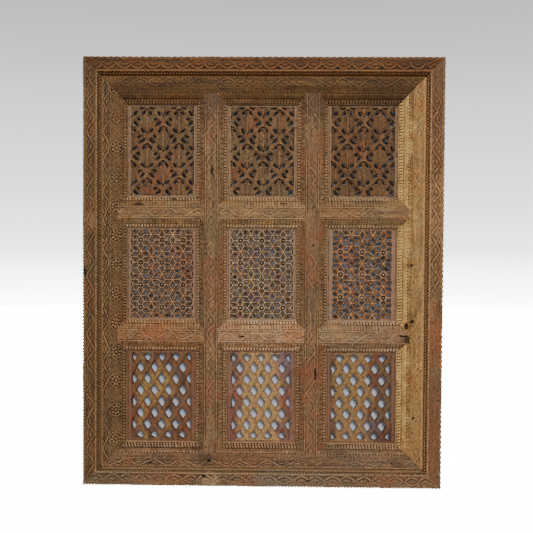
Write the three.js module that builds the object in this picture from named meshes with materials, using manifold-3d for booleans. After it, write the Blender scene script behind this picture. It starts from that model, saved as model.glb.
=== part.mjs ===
// A carved timber wall panel: a mitred outer frame round a mitred inner frame, two upright bars and two
// rows of cross bars, and nine pierced boards held in the grooves between them. Three boards are pierced
// round leaf sprays, three are a star lattice with domed studs, and three have staggered diamond holes.
// Millimetres. X runs to the right, Z up, and the face looks along -Y. The back lies in the plane Y = 0,
// and the origin is on the back of the outer top rail, 30 mm below its upper edge.

import * as THREE from "three";
import { mergeVertices } from "three/addons/utils/BufferGeometryUtils.js";
import Module from "manifold-3d";

const wasm = await Module();
wasm.setup();

// Driving dimensions of the whole
const WIDTH = 1060;
const HEIGHT = 1265;
const DEPTH = 70;
const TOP = 30;
const GAP = 0.3;
const CORNER_ROUND = 5;
const CLEAR = 10;

// The grid of nine openings, and the bars between them
const COLUMNS = 3;
const ROWS = 3;
const OPENING_WIDTH = 205;
const OPENING_HEIGHT = 272;
const BAR_WIDTH = 92;
const UPRIGHT_FLAT = 38;
const CROSS_FLAT = 35;

// Outer frame, measured across from its outer edge
const OUTER = { width: 57, arris: 4, fillet: 9, vineEnd: 37, inner: 43, ropeEnd: 53 };
const OUTER_ROPE_FRONT = 60;
const JOINT_GROOVE_FRONT = 45;

// Inner frame members, each band measured across from the outer edge of that member
const INNER = {
  left: { vine: 22, leaves: 47, slope: 59, width: 71 },
  right: { vine: 30, leaves: 46, slope: 60, width: 76 },
  top: { vine: 29, leaves: 48, slope: 64, width: 80 },
  bottom: { vine: 23, leaves: 41, slope: 53, width: 71 },
};

// Heights of the carved faces above the back plane
const FRONT = { vine: 58, leaves: 55, upright: 57, cross: 59, slopeFoot: 43, bead: 45, edge: 39 };
const INNER_BACK = 2;
const BAR_BACK = 6;
const BAR_SLOPE = 14;
const BAR_STEP = 2;
const EDGE_CHAMFER = 3;
const QUIRK = 2;

// Boards, and the grooves that hold them
const BOARD = { front: 31, back: 15, tongue: 8 };
const GROOVE_DEPTH = 9;

// Domed studs on the star boards
const STUD = { radius: 3.6, rise: 2.6, sides: 6 };

const WOOD = {
  outer: new THREE.MeshStandardMaterial({ color: 0x6f4f34, roughness: 0.72, metalness: 0 }),
  inner: new THREE.MeshStandardMaterial({ color: 0x7d6140, roughness: 0.72, metalness: 0 }),
  golden: new THREE.MeshStandardMaterial({ color: 0xa5855a, roughness: 0.7, metalness: 0 }),
  upright: new THREE.MeshStandardMaterial({ color: 0x80613f, roughness: 0.72, metalness: 0 }),
  board: new THREE.MeshStandardMaterial({ color: 0x8f6a45, roughness: 0.75, metalness: 0 }),
};
const STUD_METAL = new THREE.MeshStandardMaterial({ color: 0xb49a72, roughness: 0.4, metalness: 0.9 });

// Lines of the layout, worked out from the driving dimensions
const outerX = WIDTH / 2;
const BOTTOM = TOP - HEIGHT;
const frameX = outerX - OUTER.width;
const frameTop = TOP - OUTER.width;
const frameBottom = BOTTOM + OUTER.width;
const openLeft = -frameX + INNER.left.width;
const openTop = frameTop - INNER.top.width;
const openRight = openLeft + COLUMNS * OPENING_WIDTH + (COLUMNS - 1) * BAR_WIDTH;
const openBottom = openTop - ROWS * OPENING_HEIGHT - (ROWS - 1) * BAR_WIDTH;
const columnLeft = (column) => openLeft + column * (OPENING_WIDTH + BAR_WIDTH);
const rowTop = (row) => openTop - row * (OPENING_HEIGHT + BAR_WIDTH);

const group = new THREE.Group();

function addPiece(name, geometry, material) {
  const mesh = new THREE.Mesh(geometry, material);
  mesh.name = name;
  group.add(mesh);
}

// Solids: a three.js geometry in, a manifold out, and back again after the cuts

function toSolid(geometry) {
  const bare = geometry.clone();
  bare.deleteAttribute("normal");
  bare.deleteAttribute("uv");
  const merged = mergeVertices(bare, 1e-4);
  const mesh = new wasm.Mesh({
    numProp: 3,
    vertProperties: new Float32Array(merged.attributes.position.array),
    triVerts: new Uint32Array(merged.index.array),
  });
  return new wasm.Manifold(mesh);
}

function toGeometry(solid) {
  const mesh = solid.getMesh();
  const geometry = new THREE.BufferGeometry();
  geometry.setAttribute("position", new THREE.BufferAttribute(new Float32Array(mesh.vertProperties), 3));
  geometry.setIndex(new THREE.BufferAttribute(new Uint32Array(mesh.triVerts), 1));
  geometry.computeVertexNormals();
  return geometry;
}

function shapeOf(points) {
  return new THREE.Shape(points.map(([x, y]) => new THREE.Vector2(x, y)));
}

// A plan shape in X and Z, made solid from just behind the back to just before the face
function planSolid(shape) {
  const depth = DEPTH + 2 * CLEAR;
  const geometry = new THREE.ExtrudeGeometry(shape, { depth, bevelEnabled: false, curveSegments: 3 });
  geometry.rotateX(Math.PI / 2);
  geometry.translate(0, CLEAR, 0);
  return toSolid(geometry);
}

const planPrism = (outline) => planSolid(shapeOf(outline));

// A section is a list of [across, front] points. The member runs along Z from low to high, with its
// section laid from across = 0 at X = origin, towards +X where direction is 1 and -X where it is -1.
function uprightPrism(section, origin, direction, low, high) {
  const outline = section.map(([across, front]) => [origin + direction * across, front]);
  const geometry = new THREE.ExtrudeGeometry(shapeOf(outline), { depth: high - low, bevelEnabled: false });
  geometry.applyMatrix4(new THREE.Matrix4().set(1, 0, 0, 0, 0, -1, 0, 0, 0, 0, 1, low, 0, 0, 0, 1));
  return toSolid(turnedOut(geometry));
}

// The same for a member that runs along X, with across = 0 at Z = origin
function crossPrism(section, origin, direction, low, high) {
  const outline = section.map(([across, front]) => [origin + direction * across, front]);
  const geometry = new THREE.ExtrudeGeometry(shapeOf(outline), { depth: high - low, bevelEnabled: false });
  geometry.applyMatrix4(new THREE.Matrix4().set(0, 0, 1, low, 0, -1, 0, 0, 1, 0, 0, 0, 0, 0, 0, 1));
  return toSolid(turnedOut(geometry));
}

// Reverses the faces of a geometry whose matrix mirrored it
function turnedOut(geometry) {
  const position = geometry.attributes.position;
  const volume = signedVolume(position);
  if (volume > 0) {
    return geometry;
  }
  for (let corner = 0; corner < position.count; corner += 3) {
    const second = new THREE.Vector3().fromBufferAttribute(position, corner + 1);
    const third = new THREE.Vector3().fromBufferAttribute(position, corner + 2);
    position.setXYZ(corner + 1, third.x, third.y, third.z);
    position.setXYZ(corner + 2, second.x, second.y, second.z);
  }
  return geometry;
}

function signedVolume(position) {
  const [a, b, c] = [new THREE.Vector3(), new THREE.Vector3(), new THREE.Vector3()];
  let sum = 0;
  for (let corner = 0; corner < position.count; corner += 3) {
    a.fromBufferAttribute(position, corner);
    b.fromBufferAttribute(position, corner + 1);
    c.fromBufferAttribute(position, corner + 2);
    sum += a.dot(b.cross(c));
  }
  return sum;
}

// Sections

function outerSection() {
  return [
    [0, 0],
    [0, DEPTH - OUTER.arris],
    [OUTER.arris, DEPTH],
    [OUTER.fillet, DEPTH],
    [OUTER.fillet + QUIRK, DEPTH - QUIRK],
    [OUTER.vineEnd, DEPTH - QUIRK],
    [OUTER.vineEnd + QUIRK, DEPTH],
    [OUTER.inner, DEPTH],
    [OUTER.ropeEnd, OUTER_ROPE_FRONT],
    [OUTER.ropeEnd, JOINT_GROOVE_FRONT],
    [OUTER.width - GAP, JOINT_GROOVE_FRONT],
    [OUTER.width - GAP, 0],
  ];
}

// From the moulded edge of a member round its board groove to its back
function grooveEdge(across, inward, back) {
  return [
    [across, FRONT.edge],
    [across, BOARD.front + GAP],
    [across + inward * GROOVE_DEPTH, BOARD.front + GAP],
    [across + inward * GROOVE_DEPTH, BOARD.back - GAP],
    [across, BOARD.back - GAP],
    [across, back],
  ];
}

function innerSection(bands) {
  return [
    [0, INNER_BACK],
    [0, FRONT.vine - QUIRK],
    [QUIRK, FRONT.vine],
    [bands.vine, FRONT.vine],
    [bands.vine + QUIRK, FRONT.leaves],
    [bands.leaves, FRONT.leaves],
    [bands.slope, FRONT.slopeFoot],
    [bands.slope + QUIRK, FRONT.bead],
    [bands.width - EDGE_CHAMFER, FRONT.bead - QUIRK],
    ...grooveEdge(bands.width, -1, INNER_BACK),
  ];
}

function barSection(flat, front) {
  const halfFlat = flat / 2;
  const half = BAR_WIDTH / 2;
  const right = [
    [halfFlat, front],
    [halfFlat + BAR_STEP, front - BAR_STEP],
    [halfFlat + BAR_STEP + BAR_SLOPE, FRONT.slopeFoot],
    [halfFlat + BAR_STEP + BAR_SLOPE + QUIRK, FRONT.bead],
    [half - EDGE_CHAMFER, FRONT.bead - QUIRK],
    ...grooveEdge(half, -1, BAR_BACK),
  ];
  const left = right.map(([across, height]) => [-across, height]).reverse();
  return [...right, ...left];
}

// Plan outlines

// The end of a bar narrows at 45 degrees from its full width at the opening to its flat face
function taperedEnd(flat, reach) {
  return Math.max(BAR_WIDTH / 2 - reach, flat / 2 + BAR_STEP);
}

// A bar centred on across = 0, from low to high, whose openings begin at lowOpening and end at highOpening
function barOutline(flat, low, lowOpening, highOpening, high, grow) {
  const half = BAR_WIDTH / 2 + grow;
  const lowHalf = taperedEnd(flat, lowOpening - low) + grow;
  const highHalf = taperedEnd(flat, high - highOpening) + grow;
  const lowRun = lowOpening - (half - lowHalf);
  const highRun = highOpening + (half - highHalf);
  return [
    [-lowHalf, low - grow],
    [lowHalf, low - grow],
    [lowHalf, lowRun],
    [half, lowOpening],
    [half, highOpening],
    [highHalf, highRun],
    [highHalf, high + grow],
    [-highHalf, high + grow],
    [-highHalf, highRun],
    [-half, highOpening],
    [-half, lowOpening],
    [-lowHalf, lowRun],
  ];
}

const alongZ = (outline, x) => outline.map(([across, along]) => [x + across, along]);
const alongX = (outline, z) => outline.map(([across, along]) => [along, z - across]);

// Outer frame

// A mitred side: its outer edge runs from one outer corner to the next, its inner edge likewise. Each end
// stands back along the member, so that two sides meet with the usual gap.
const MITRE_BACK = GAP * 0.75;

function mitredOutline(outerStart, outerEnd, innerEnd, innerStart) {
  const middle = new THREE.Vector2(...outerStart)
    .add(new THREE.Vector2(...outerEnd))
    .add(new THREE.Vector2(...innerEnd))
    .add(new THREE.Vector2(...innerStart))
    .multiplyScalar(0.25);
  const corners = [outerStart, outerEnd, innerEnd, innerStart];
  const sideways = new THREE.Vector2(...outerEnd).sub(new THREE.Vector2(...outerStart)).normalize();
  return corners.map(([x, z]) => {
    const fromMiddle = new THREE.Vector2(x, z).sub(middle).dot(sideways);
    const shift = -Math.sign(fromMiddle) * MITRE_BACK;
    return [x + sideways.x * shift, z + sideways.y * shift];
  });
}

function outerCorners(inset) {
  const x = outerX - inset;
  return {
    topLeft: [-x, TOP - inset],
    topRight: [x, TOP - inset],
    bottomRight: [x, BOTTOM + inset],
    bottomLeft: [-x, BOTTOM + inset],
  };
}

// The worn corners of the panel are slightly rounded
function roundedPlan() {
  const r = CORNER_ROUND;
  const shape = new THREE.Shape();
  const x = outerX;
  shape.moveTo(-x + r, BOTTOM);
  shape.lineTo(x - r, BOTTOM);
  shape.absarc(x - r, BOTTOM + r, r, -Math.PI / 2, 0, false);
  shape.absarc(x - r, TOP - r, r, 0, Math.PI / 2, false);
  shape.absarc(-x + r, TOP - r, r, Math.PI / 2, Math.PI, false);
  shape.absarc(-x + r, BOTTOM + r, r, Math.PI, Math.PI * 1.5, false);
  return planSolid(shape);
}

function makeOuterFrame() {
  const out = outerCorners(0);
  const inn = outerCorners(OUTER.width);
  const section = outerSection();
  const rounded = roundedPlan();
  const sides = [
    ["outer_top_rail", crossPrism(section, TOP, -1, -outerX, outerX),
      mitredOutline(out.topLeft, out.topRight, inn.topRight, inn.topLeft)],
    ["outer_bottom_rail", crossPrism(section, BOTTOM, 1, -outerX, outerX),
      mitredOutline(out.bottomLeft, out.bottomRight, inn.bottomRight, inn.bottomLeft)],
    ["outer_left_stile", uprightPrism(section, -outerX, 1, BOTTOM, TOP),
      mitredOutline(out.bottomLeft, out.topLeft, inn.topLeft, inn.bottomLeft)],
    ["outer_right_stile", uprightPrism(section, outerX, -1, BOTTOM, TOP),
      mitredOutline(out.bottomRight, out.topRight, inn.topRight, inn.bottomRight)],
  ];
  for (const [name, prism, outline] of sides) {
    const solid = prism.intersect(planPrism(outline)).intersect(rounded);
    addPiece(name, toGeometry(solid), WOOD.outer);
  }
}

// Bars: uprights run the full height between the inner top and bottom members, cross bars in three lengths

const slopeTop = frameTop - INNER.top.leaves;
const slopeBottom = frameBottom + INNER.bottom.leaves;
const slopeLeft = -frameX + INNER.left.leaves;
const slopeRight = frameX - INNER.right.leaves;

const uprightX = (index) => columnLeft(index) + OPENING_WIDTH + BAR_WIDTH / 2;
const crossZ = (index) => rowTop(index) - OPENING_HEIGHT - BAR_WIDTH / 2;

function uprightPlan(index, grow) {
  const outline = barOutline(UPRIGHT_FLAT, slopeBottom, openBottom, openTop, slopeTop, grow);
  return planPrism(alongZ(outline, uprightX(index)));
}

// The cross bar in one column ends at the slope of the stile or at the flat of the upright beside it
function crossEnds(column) {
  const uprightFlat = UPRIGHT_FLAT / 2 + BAR_STEP;
  const low = column === 0 ? slopeLeft : uprightX(column - 1) + uprightFlat;
  const high = column === COLUMNS - 1 ? slopeRight : uprightX(column) - uprightFlat;
  return [low, high];
}

function crossPlan(row, column, grow) {
  const [low, high] = crossEnds(column);
  const left = columnLeft(column);
  const outline = barOutline(CROSS_FLAT, low, left, left + OPENING_WIDTH, high, grow);
  return planPrism(alongX(outline, crossZ(row)));
}

function makeUprights() {
  const section = barSection(UPRIGHT_FLAT, FRONT.upright);
  ["left", "right"].forEach((side, index) => {
    let solid = uprightPrism(section, uprightX(index), 1, slopeBottom - 1, slopeTop + 1);
    solid = solid.intersect(uprightPlan(index, 0));
    for (let row = 0; row < ROWS - 1; row += 1) {
      solid = solid.subtract(crossPlan(row, index, GAP)).subtract(crossPlan(row, index + 1, GAP));
    }
    addPiece(`upright_bar_${side}`, toGeometry(solid), WOOD.upright);
  });
}

function makeCrossBars() {
  const section = barSection(CROSS_FLAT, FRONT.cross);
  ["upper", "lower"].forEach((level, row) => {
    ["left", "middle", "right"].forEach((place, column) => {
      const [low, high] = crossEnds(column);
      const prism = crossPrism(section, crossZ(row), 1, low - 1, high + 1);
      const solid = prism.intersect(crossPlan(row, column, 0));
      addPiece(`cross_bar_${level}_${place}`, toGeometry(solid), WOOD.golden);
    });
  });
}

// Inner frame: mitred members, notched where the bars run into their slopes

function makeInnerFrame() {
  const x = frameX;
  const out = {
    topLeft: [-x, frameTop],
    topRight: [x, frameTop],
    bottomRight: [x, frameBottom],
    bottomLeft: [-x, frameBottom],
  };
  const inn = {
    topLeft: [openLeft, openTop],
    topRight: [openRight, openTop],
    bottomRight: [openRight, openBottom],
    bottomLeft: [openLeft, openBottom],
  };
  const uprightNotches = [uprightPlan(0, GAP), uprightPlan(1, GAP)];
  const leftNotches = [crossPlan(0, 0, GAP), crossPlan(1, 0, GAP)];
  const rightNotches = [crossPlan(0, COLUMNS - 1, GAP), crossPlan(1, COLUMNS - 1, GAP)];
  const members = [
    ["inner_top_rail", crossPrism(innerSection(INNER.top), frameTop, -1, -x, x),
      mitredOutline(out.topLeft, out.topRight, inn.topRight, inn.topLeft), uprightNotches, WOOD.inner],
    ["inner_bottom_rail", crossPrism(innerSection(INNER.bottom), frameBottom, 1, -x, x),
      mitredOutline(out.bottomLeft, out.bottomRight, inn.bottomRight, inn.bottomLeft), uprightNotches,
      WOOD.inner],
    ["inner_left_stile", uprightPrism(innerSection(INNER.left), -x, 1, frameBottom, frameTop),
      mitredOutline(out.bottomLeft, out.topLeft, inn.topLeft, inn.bottomLeft), leftNotches, WOOD.inner],
    ["inner_right_stile", uprightPrism(innerSection(INNER.right), x, -1, frameBottom, frameTop),
      mitredOutline(out.bottomRight, out.topRight, inn.topRight, inn.bottomRight), rightNotches,
      WOOD.golden],
  ];
  for (const [name, prism, outline, notches, material] of members) {
    let solid = prism.intersect(planPrism(outline));
    for (const notch of notches) {
      solid = solid.subtract(notch);
    }
    addPiece(name, toGeometry(solid), material);
  }
}

// Boards: each is a rectangle with a tongue all round, pierced by the holes of its pattern

function holePath(points) {
  return new THREE.Path(points.map(([x, z]) => new THREE.Vector2(x, z)));
}

function makeBoard(name, column, row, holes) {
  const halfWidth = OPENING_WIDTH / 2 + BOARD.tongue;
  const halfHeight = OPENING_HEIGHT / 2 + BOARD.tongue;
  const outline = [
    [-halfWidth, -halfHeight],
    [halfWidth, -halfHeight],
    [halfWidth, halfHeight],
    [-halfWidth, halfHeight],
  ];
  const shape = shapeOf(outline);
  shape.holes = holes.map(holePath);
  const depth = BOARD.front - BOARD.back;
  const geometry = new THREE.ExtrudeGeometry(shape, { depth, bevelEnabled: false });
  geometry.rotateX(Math.PI / 2);
  const centre = boardCentre(column, row);
  geometry.translate(centre.x, -BOARD.back, centre.z);
  addPiece(name, geometry, WOOD.board);
}

function boardCentre(column, row) {
  return { x: columnLeft(column) + OPENING_WIDTH / 2, z: rowTop(row) - OPENING_HEIGHT / 2 };
}

// A four-sided hole from its centre, long and short half diagonals and the turn of its long one
function rhombus(x, z, long, short, turn) {
  const [ux, uz] = [Math.cos(turn), Math.sin(turn)];
  return [
    [x + ux * long, z + uz * long],
    [x - uz * short, z + ux * short],
    [x - ux * long, z - uz * long],
    [x + uz * short, z - ux * short],
  ];
}

function inField([x, z], field) {
  return Math.abs(x) < field.x && Math.abs(z) < field.z;
}

// Leaf boards: sprays in a diamond net, with slots at the sides and below each spray
const LEAF = {
  halfWidth: 44.5,
  halfHeight: 49,
  firstZ: 90,
  field: { x: 87, z: 123 },
  sideSlot: { x: 33, z: -7, long: 11, short: 4.5, turn: 0.9 },
  footSlot: { x: 11.5, z: -29, long: 9, short: 4.5, turn: 1.35 },
};

// Centres of the sprays: two to a row, then three to the next with the outer ones cut by the margin
function leafCentres() {
  const centres = [];
  for (let step = -1; step <= 5; step += 1) {
    const z = LEAF.firstZ - step * LEAF.halfHeight;
    const places = step % 2 === 0 ? [-1, 1] : [-2, 0, 2];
    places.forEach((place) => centres.push([place * LEAF.halfWidth, z]));
  }
  return centres;
}

function leafHoles() {
  const holes = [];
  for (const [x, z] of leafCentres()) {
    for (const slot of [LEAF.sideSlot, LEAF.footSlot]) {
      for (const side of [-1, 1]) {
        const turn = side < 0 ? Math.PI - slot.turn : slot.turn;
        holes.push(rhombus(x + side * slot.x, z + slot.z, slot.long, slot.short, turn));
      }
    }
  }
  return holes.filter((hole) => hole.every((point) => inField(point, LEAF.field)));
}

// Star boards: the rhombic holes of a three-way lattice. Its knots stand in upright columns, each column
// half a step above the last, and every other knot of every other column carries a stud.
const STAR = { column: 31.7, step: 33.4, bar: 6.5, field: { x: 88, z: 124 } };

function starKnots(studPhase) {
  const knots = [];
  for (let column = -3; column <= 3; column += 1) {
    const lift = column % 2 === 0 ? 0 : STAR.step / 2;
    for (let step = -5; step <= 5; step += 1) {
      const studded = column % 2 === 0 && Math.abs(step) % 2 === studPhase;
      knots.push({ x: column * STAR.column, z: step * STAR.step + lift, studded, column });
    }
  }
  return knots;
}

function starHoles(knots) {
  const holes = [];
  const reach = Math.hypot(STAR.column, STAR.step / 2) + 1;
  knots.forEach((a, first) => {
    knots.slice(first + 1).forEach((b) => {
      const length = Math.hypot(b.x - a.x, b.z - a.z);
      if (length > reach || a.studded || b.studded) {
        return;
      }
      const long = length / 2 - STAR.bar;
      const short = STAR.column / 3 - STAR.bar / Math.sqrt(3);
      const turn = Math.atan2(b.z - a.z, b.x - a.x);
      holes.push(rhombus((a.x + b.x) / 2, (a.z + b.z) / 2, long, short, turn));
    });
  });
  return holes.filter((hole) => hole.every((point) => inField(point, STAR.field)));
}

// Diamond boards: rows of upright diamonds, each row half a pitch beside the last
// The first and last rows are cut off flat, with a short point.
const DIAMOND = { pitch: 40.5, row: 33, rows: 8, halfWidth: 11.5, halfHeight: 17.5, cutHeight: 8, edge: 84 };

function diamondHoles(phase) {
  const holes = [];
  const { pitch, halfWidth, halfHeight, edge } = DIAMOND;
  for (let row = 0; row < DIAMOND.rows; row += 1) {
    const z = ((DIAMOND.rows - 1) / 2 - row) * DIAMOND.row;
    const wide = row % 2 === phase;
    const count = wide ? 5 : 4;
    const foot = row === DIAMOND.rows - 1 ? DIAMOND.cutHeight : halfHeight;
    const head = row === 0 ? DIAMOND.cutHeight : halfHeight;
    for (let index = 0; index < count; index += 1) {
      const x = (index - (count - 1) / 2) * pitch;
      const left = Math.max(x - halfWidth, -edge);
      const right = Math.min(x + halfWidth, edge);
      holes.push([[x, z - foot], [right, z], [x, z + head], [left, z]]);
    }
  }
  return holes;
}

// Studs: low six-sided domes, seated on the face of their board
const DOME = { shoulder: 0.75, height: 0.7 };

function studGeometry() {
  const { radius, rise } = STUD;
  const profile = [
    [0, 0],
    [radius, 0],
    [radius * DOME.shoulder, rise * DOME.height],
    [0, rise],
  ];
  const geometry = new THREE.LatheGeometry(profile.map(([x, y]) => new THREE.Vector2(x, y)), STUD.sides);
  geometry.rotateX(Math.PI);
  return geometry;
}

const STUD_FIELD = { x: 64, z: 101 };
const RIGHT_BOARD_LOST = { column: 0, below: 10 };

function makeStuds(place, column, knots, lost) {
  const centre = boardCentre(column, 1);
  let number = 0;
  for (const knot of knots) {
    const missing = lost && knot.column === lost.column && knot.z < lost.below;
    if (!knot.studded || !inField([knot.x, knot.z], STUD_FIELD) || missing) {
      continue;
    }
    number += 1;
    const geometry = studGeometry();
    geometry.translate(centre.x + knot.x, -BOARD.front - GAP, centre.z + knot.z);
    addPiece(`stud_${place}_${String(number).padStart(2, "0")}`, geometry, STUD_METAL);
  }
}

function makeBoards() {
  ["left", "middle", "right"].forEach((place, column) => {
    const last = column === COLUMNS - 1;
    const knots = starKnots(last ? 0 : 1);
    makeBoard(`leaf_board_${place}`, column, 0, leafHoles());
    makeBoard(`star_board_${place}`, column, 1, starHoles(knots));
    makeBoard(`diamond_board_${place}`, column, 2, diamondHoles(last ? 1 : 0));
    makeStuds(place, column, knots, last ? RIGHT_BOARD_LOST : null);
  });
}

makeOuterFrame();
makeInnerFrame();
makeUprights();
makeCrossBars();
makeBoards();

export default group;
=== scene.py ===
"""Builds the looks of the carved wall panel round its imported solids, in Blender 4.5.

Every member and board is a prism swept from the section of its solid, with the carving cut into its
face, and is then trimmed to its outline and pierced. Sizes inside the functions are millimetres: a runs
across a member, s along it and h is the height above the wall.
"""

import math

import bpy
import numpy as np
from mathutils import Matrix, Vector


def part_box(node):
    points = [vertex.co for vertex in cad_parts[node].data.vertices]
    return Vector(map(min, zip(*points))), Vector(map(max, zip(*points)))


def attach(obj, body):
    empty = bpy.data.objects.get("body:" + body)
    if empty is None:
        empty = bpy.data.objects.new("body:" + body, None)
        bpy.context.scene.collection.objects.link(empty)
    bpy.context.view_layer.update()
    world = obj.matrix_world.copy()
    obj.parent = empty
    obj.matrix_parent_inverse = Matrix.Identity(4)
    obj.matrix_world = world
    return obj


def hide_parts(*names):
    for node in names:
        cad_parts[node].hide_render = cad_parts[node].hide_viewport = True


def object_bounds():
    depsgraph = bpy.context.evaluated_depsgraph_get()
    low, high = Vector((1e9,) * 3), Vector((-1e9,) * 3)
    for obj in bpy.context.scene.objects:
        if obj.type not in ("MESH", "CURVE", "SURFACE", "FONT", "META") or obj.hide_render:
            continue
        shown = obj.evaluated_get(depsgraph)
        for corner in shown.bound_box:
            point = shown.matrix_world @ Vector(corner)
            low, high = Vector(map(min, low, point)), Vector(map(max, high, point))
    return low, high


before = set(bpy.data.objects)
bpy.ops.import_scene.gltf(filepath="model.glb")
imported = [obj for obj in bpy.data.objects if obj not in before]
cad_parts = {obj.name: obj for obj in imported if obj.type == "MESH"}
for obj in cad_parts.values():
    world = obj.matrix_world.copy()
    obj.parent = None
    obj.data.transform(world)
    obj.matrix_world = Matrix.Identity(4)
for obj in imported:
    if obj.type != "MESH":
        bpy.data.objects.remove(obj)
cad_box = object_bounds()

bl_info = {
    "name": "Carved wall panel",
    "version": (1, 0, 0),
    "blender": (4, 5, 0),
    "location": "View3D > Sidebar > Wall panel",
    "description": "Carves the frames, bars, pierced boards and studs of the wall panel",
    "category": "Add Mesh",
}

MM = 0.001

# The solids' own sizes, in millimetres
OUTER_WIDTH = 57
INNER = {
    "left": {"vine": 22, "leaves": 47, "slope": 59, "width": 71},
    "right": {"vine": 30, "leaves": 46, "slope": 60, "width": 76},
    "top": {"vine": 29, "leaves": 48, "slope": 64, "width": 80},
    "bottom": {"vine": 23, "leaves": 41, "slope": 53, "width": 71},
}
BAR_WIDTH = 92
UPRIGHT_FLAT = 38
CROSS_FLAT = 35
BAR_STEP = 2
BAR_SLOPE = 14
OUTER_FRONT = 70
INNER_FRONT = 58
UPRIGHT_FRONT = 57
CROSS_FRONT = 59
INNER_BACK = 2
BAR_BACK = 6
SLOPE_FOOT = 43
BEAD_FRONT = 45
GAP = 0.3
CORNER_ROUND = 5
BOARD_FRONT = 31
BOARD_BACK = 15
OPENING = (205, 272)
TONGUE = 8
TONGUE_GROOVE = 9

# The most triangles that a piece may keep
OUTER_LIMIT = 62000
INNER_LIMIT = 60000
UPRIGHT_LIMIT = 60000
CROSS_LIMIT = 17000
BOARD_LIMIT = 30000

# First seed of each group's random unevenness and grain
OUTER_SEED = 1
INNER_SEED = 21
UPRIGHT_SEED = 41
CROSS_SEED = 51
LEAF_SEED = 61
STAR_SEED = 71
DIAMOND_SEED = 81


def node_edges(node):
    """The lowest and highest corner of a solid, in millimetres."""
    low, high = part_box(node)
    return np.array(low) / MM, np.array(high) / MM


LEFT, RIGHT = node_edges("outer_left_stile")[0][0], node_edges("outer_right_stile")[1][0]
BOTTOM, TOP = node_edges("outer_bottom_rail")[0][2], node_edges("outer_top_rail")[1][2]
FRAME_X = RIGHT - OUTER_WIDTH
FRAME_TOP = TOP - OUTER_WIDTH
FRAME_BOTTOM = BOTTOM + OUTER_WIDTH


def board_centre(kind, place):
    """The middle of a board, as x and z in millimetres."""
    low, high = node_edges(f"{kind}_board_{place}")
    return (low[0] + high[0]) / 2, (low[2] + high[2]) / 2


PLACES = ("left", "middle", "right")
COLUMN_X = [board_centre("leaf", place)[0] for place in PLACES]
ROW_Z = [board_centre(kind, "left")[1] for kind in ("leaf", "star", "diamond")]
UPRIGHT_X = [(a + b) / 2 for a, b in zip(COLUMN_X, COLUMN_X[1:])]
CROSS_Z = [(a + b) / 2 for a, b in zip(ROW_Z, ROW_Z[1:])]
OPEN_LEFT = COLUMN_X[0] - OPENING[0] / 2
OPEN_RIGHT = COLUMN_X[2] + OPENING[0] / 2
OPEN_TOP = ROW_Z[0] + OPENING[1] / 2
OPEN_BOTTOM = ROW_Z[2] - OPENING[1] / 2


# Small numeric tools


def smooth(start, end, x):
    """0 before start, 1 after end, and a soft step between them."""
    t = np.clip((x - start) / (end - start), 0, 1)
    return t * t * (3 - 2 * t)


def speckle(x, z, size, seed):
    """Soft random lumps about size millimetres wide, from -1 to 1."""
    gx, gz = x / size, z / size
    ix, iz = np.floor(gx), np.floor(gz)
    fx, fz = gx - ix, gz - iz
    fx, fz = fx * fx * (3 - 2 * fx), fz * fz * (3 - 2 * fz)

    def corner(i, j):
        wave = np.sin(i * 127.1 + j * 311.7 + seed * 74.7) * 43758.5453
        return 2 * (wave - np.floor(wave)) - 1

    low = corner(ix, iz) * (1 - fx) + corner(ix + 1, iz) * fx
    high = corner(ix, iz + 1) * (1 - fx) + corner(ix + 1, iz + 1) * fx
    return low * (1 - fz) + high * fz


def repeated(s, pitch):
    """Distance from the middle of the motif that s falls in, and the motif's number."""
    number = np.floor(s / pitch)
    return s - (number + 0.5) * pitch, number


# Carved patterns. Each gives the depth of its cut at v across its band and s along it.


def groove(away, half, deep):
    """A rounded groove whose middle is where away is nought."""
    return deep * np.exp(-((away / half) ** 2))


def vine(v, s, width, pitch, eye=0.5, ground=2.2, sunk=0.0, lower=0.9):
    """Two strands that cross round ringed buds.

    eye is where the crossings lie across the band, lower is how far the second strand lies under the first,
    and sunk deepens the triangles on one side."""
    x, number = repeated(s, pitch)
    x = x + 0.05 * pitch * np.sin(number * 2.7)
    past = s - np.floor(s / pitch + 0.5) * pitch
    centre = (eye + 0.025 * np.sin(number * 1.9)) * width
    half = 0.105 * width
    wave, lean = np.cos(np.pi * x / pitch), np.sin(np.pi * x / pitch) * np.pi / pitch
    depth = ground + np.where(v < centre, 0.0, sunk) + 0 * s
    # Small leaves in the triangles at the band's edges
    leaf = np.abs(past) / (0.2 * pitch) + np.minimum(v, width - v) / (0.26 * width)
    depth = np.where((leaf < 1) & ((v < centre) | (sunk == 0)), 0.8 + groove(leaf, 0.2, 0.8), depth)
    for side in (-1, 1):
        reach = (width - centre if side > 0 else centre) - half - 0.2
        away = np.abs(v - centre - side * reach * wave) / np.hypot(1, reach * lean)
        second = np.where(side * (1 - 2 * (number % 2)) < 0, 1.0, 0.0)
        strand = 0.1 + second * (lower + 1.2 * groove(past, 0.11 * pitch, 1.0))
        strand = strand + (ground + 1.0) * smooth(half - 0.4, half + 0.9, away) + groove(away, 0.55, 0.8)
        depth = np.minimum(depth, strand)
    # A bud in each eye, with two rings and a pit
    size = 0.94 + 0.1 * np.sin(number * 4.3)
    along = np.abs(x) / (0.34 * pitch)
    lens = (np.abs(v - centre) / (0.25 * width) + along**1.6) / size
    rings = groove(lens - 0.98, 0.2, ground + 0.4) + groove(lens - 0.52, 0.12, 1.6)
    bud = 0.3 + rings + groove(lens, 0.16, 1.4)
    depth = np.where(lens < 1.25, np.where(lens < 0.98, bud, np.maximum(depth, bud)), depth)
    return depth * smooth(0.1, 0.8, np.minimum(v, width - v))


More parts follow.
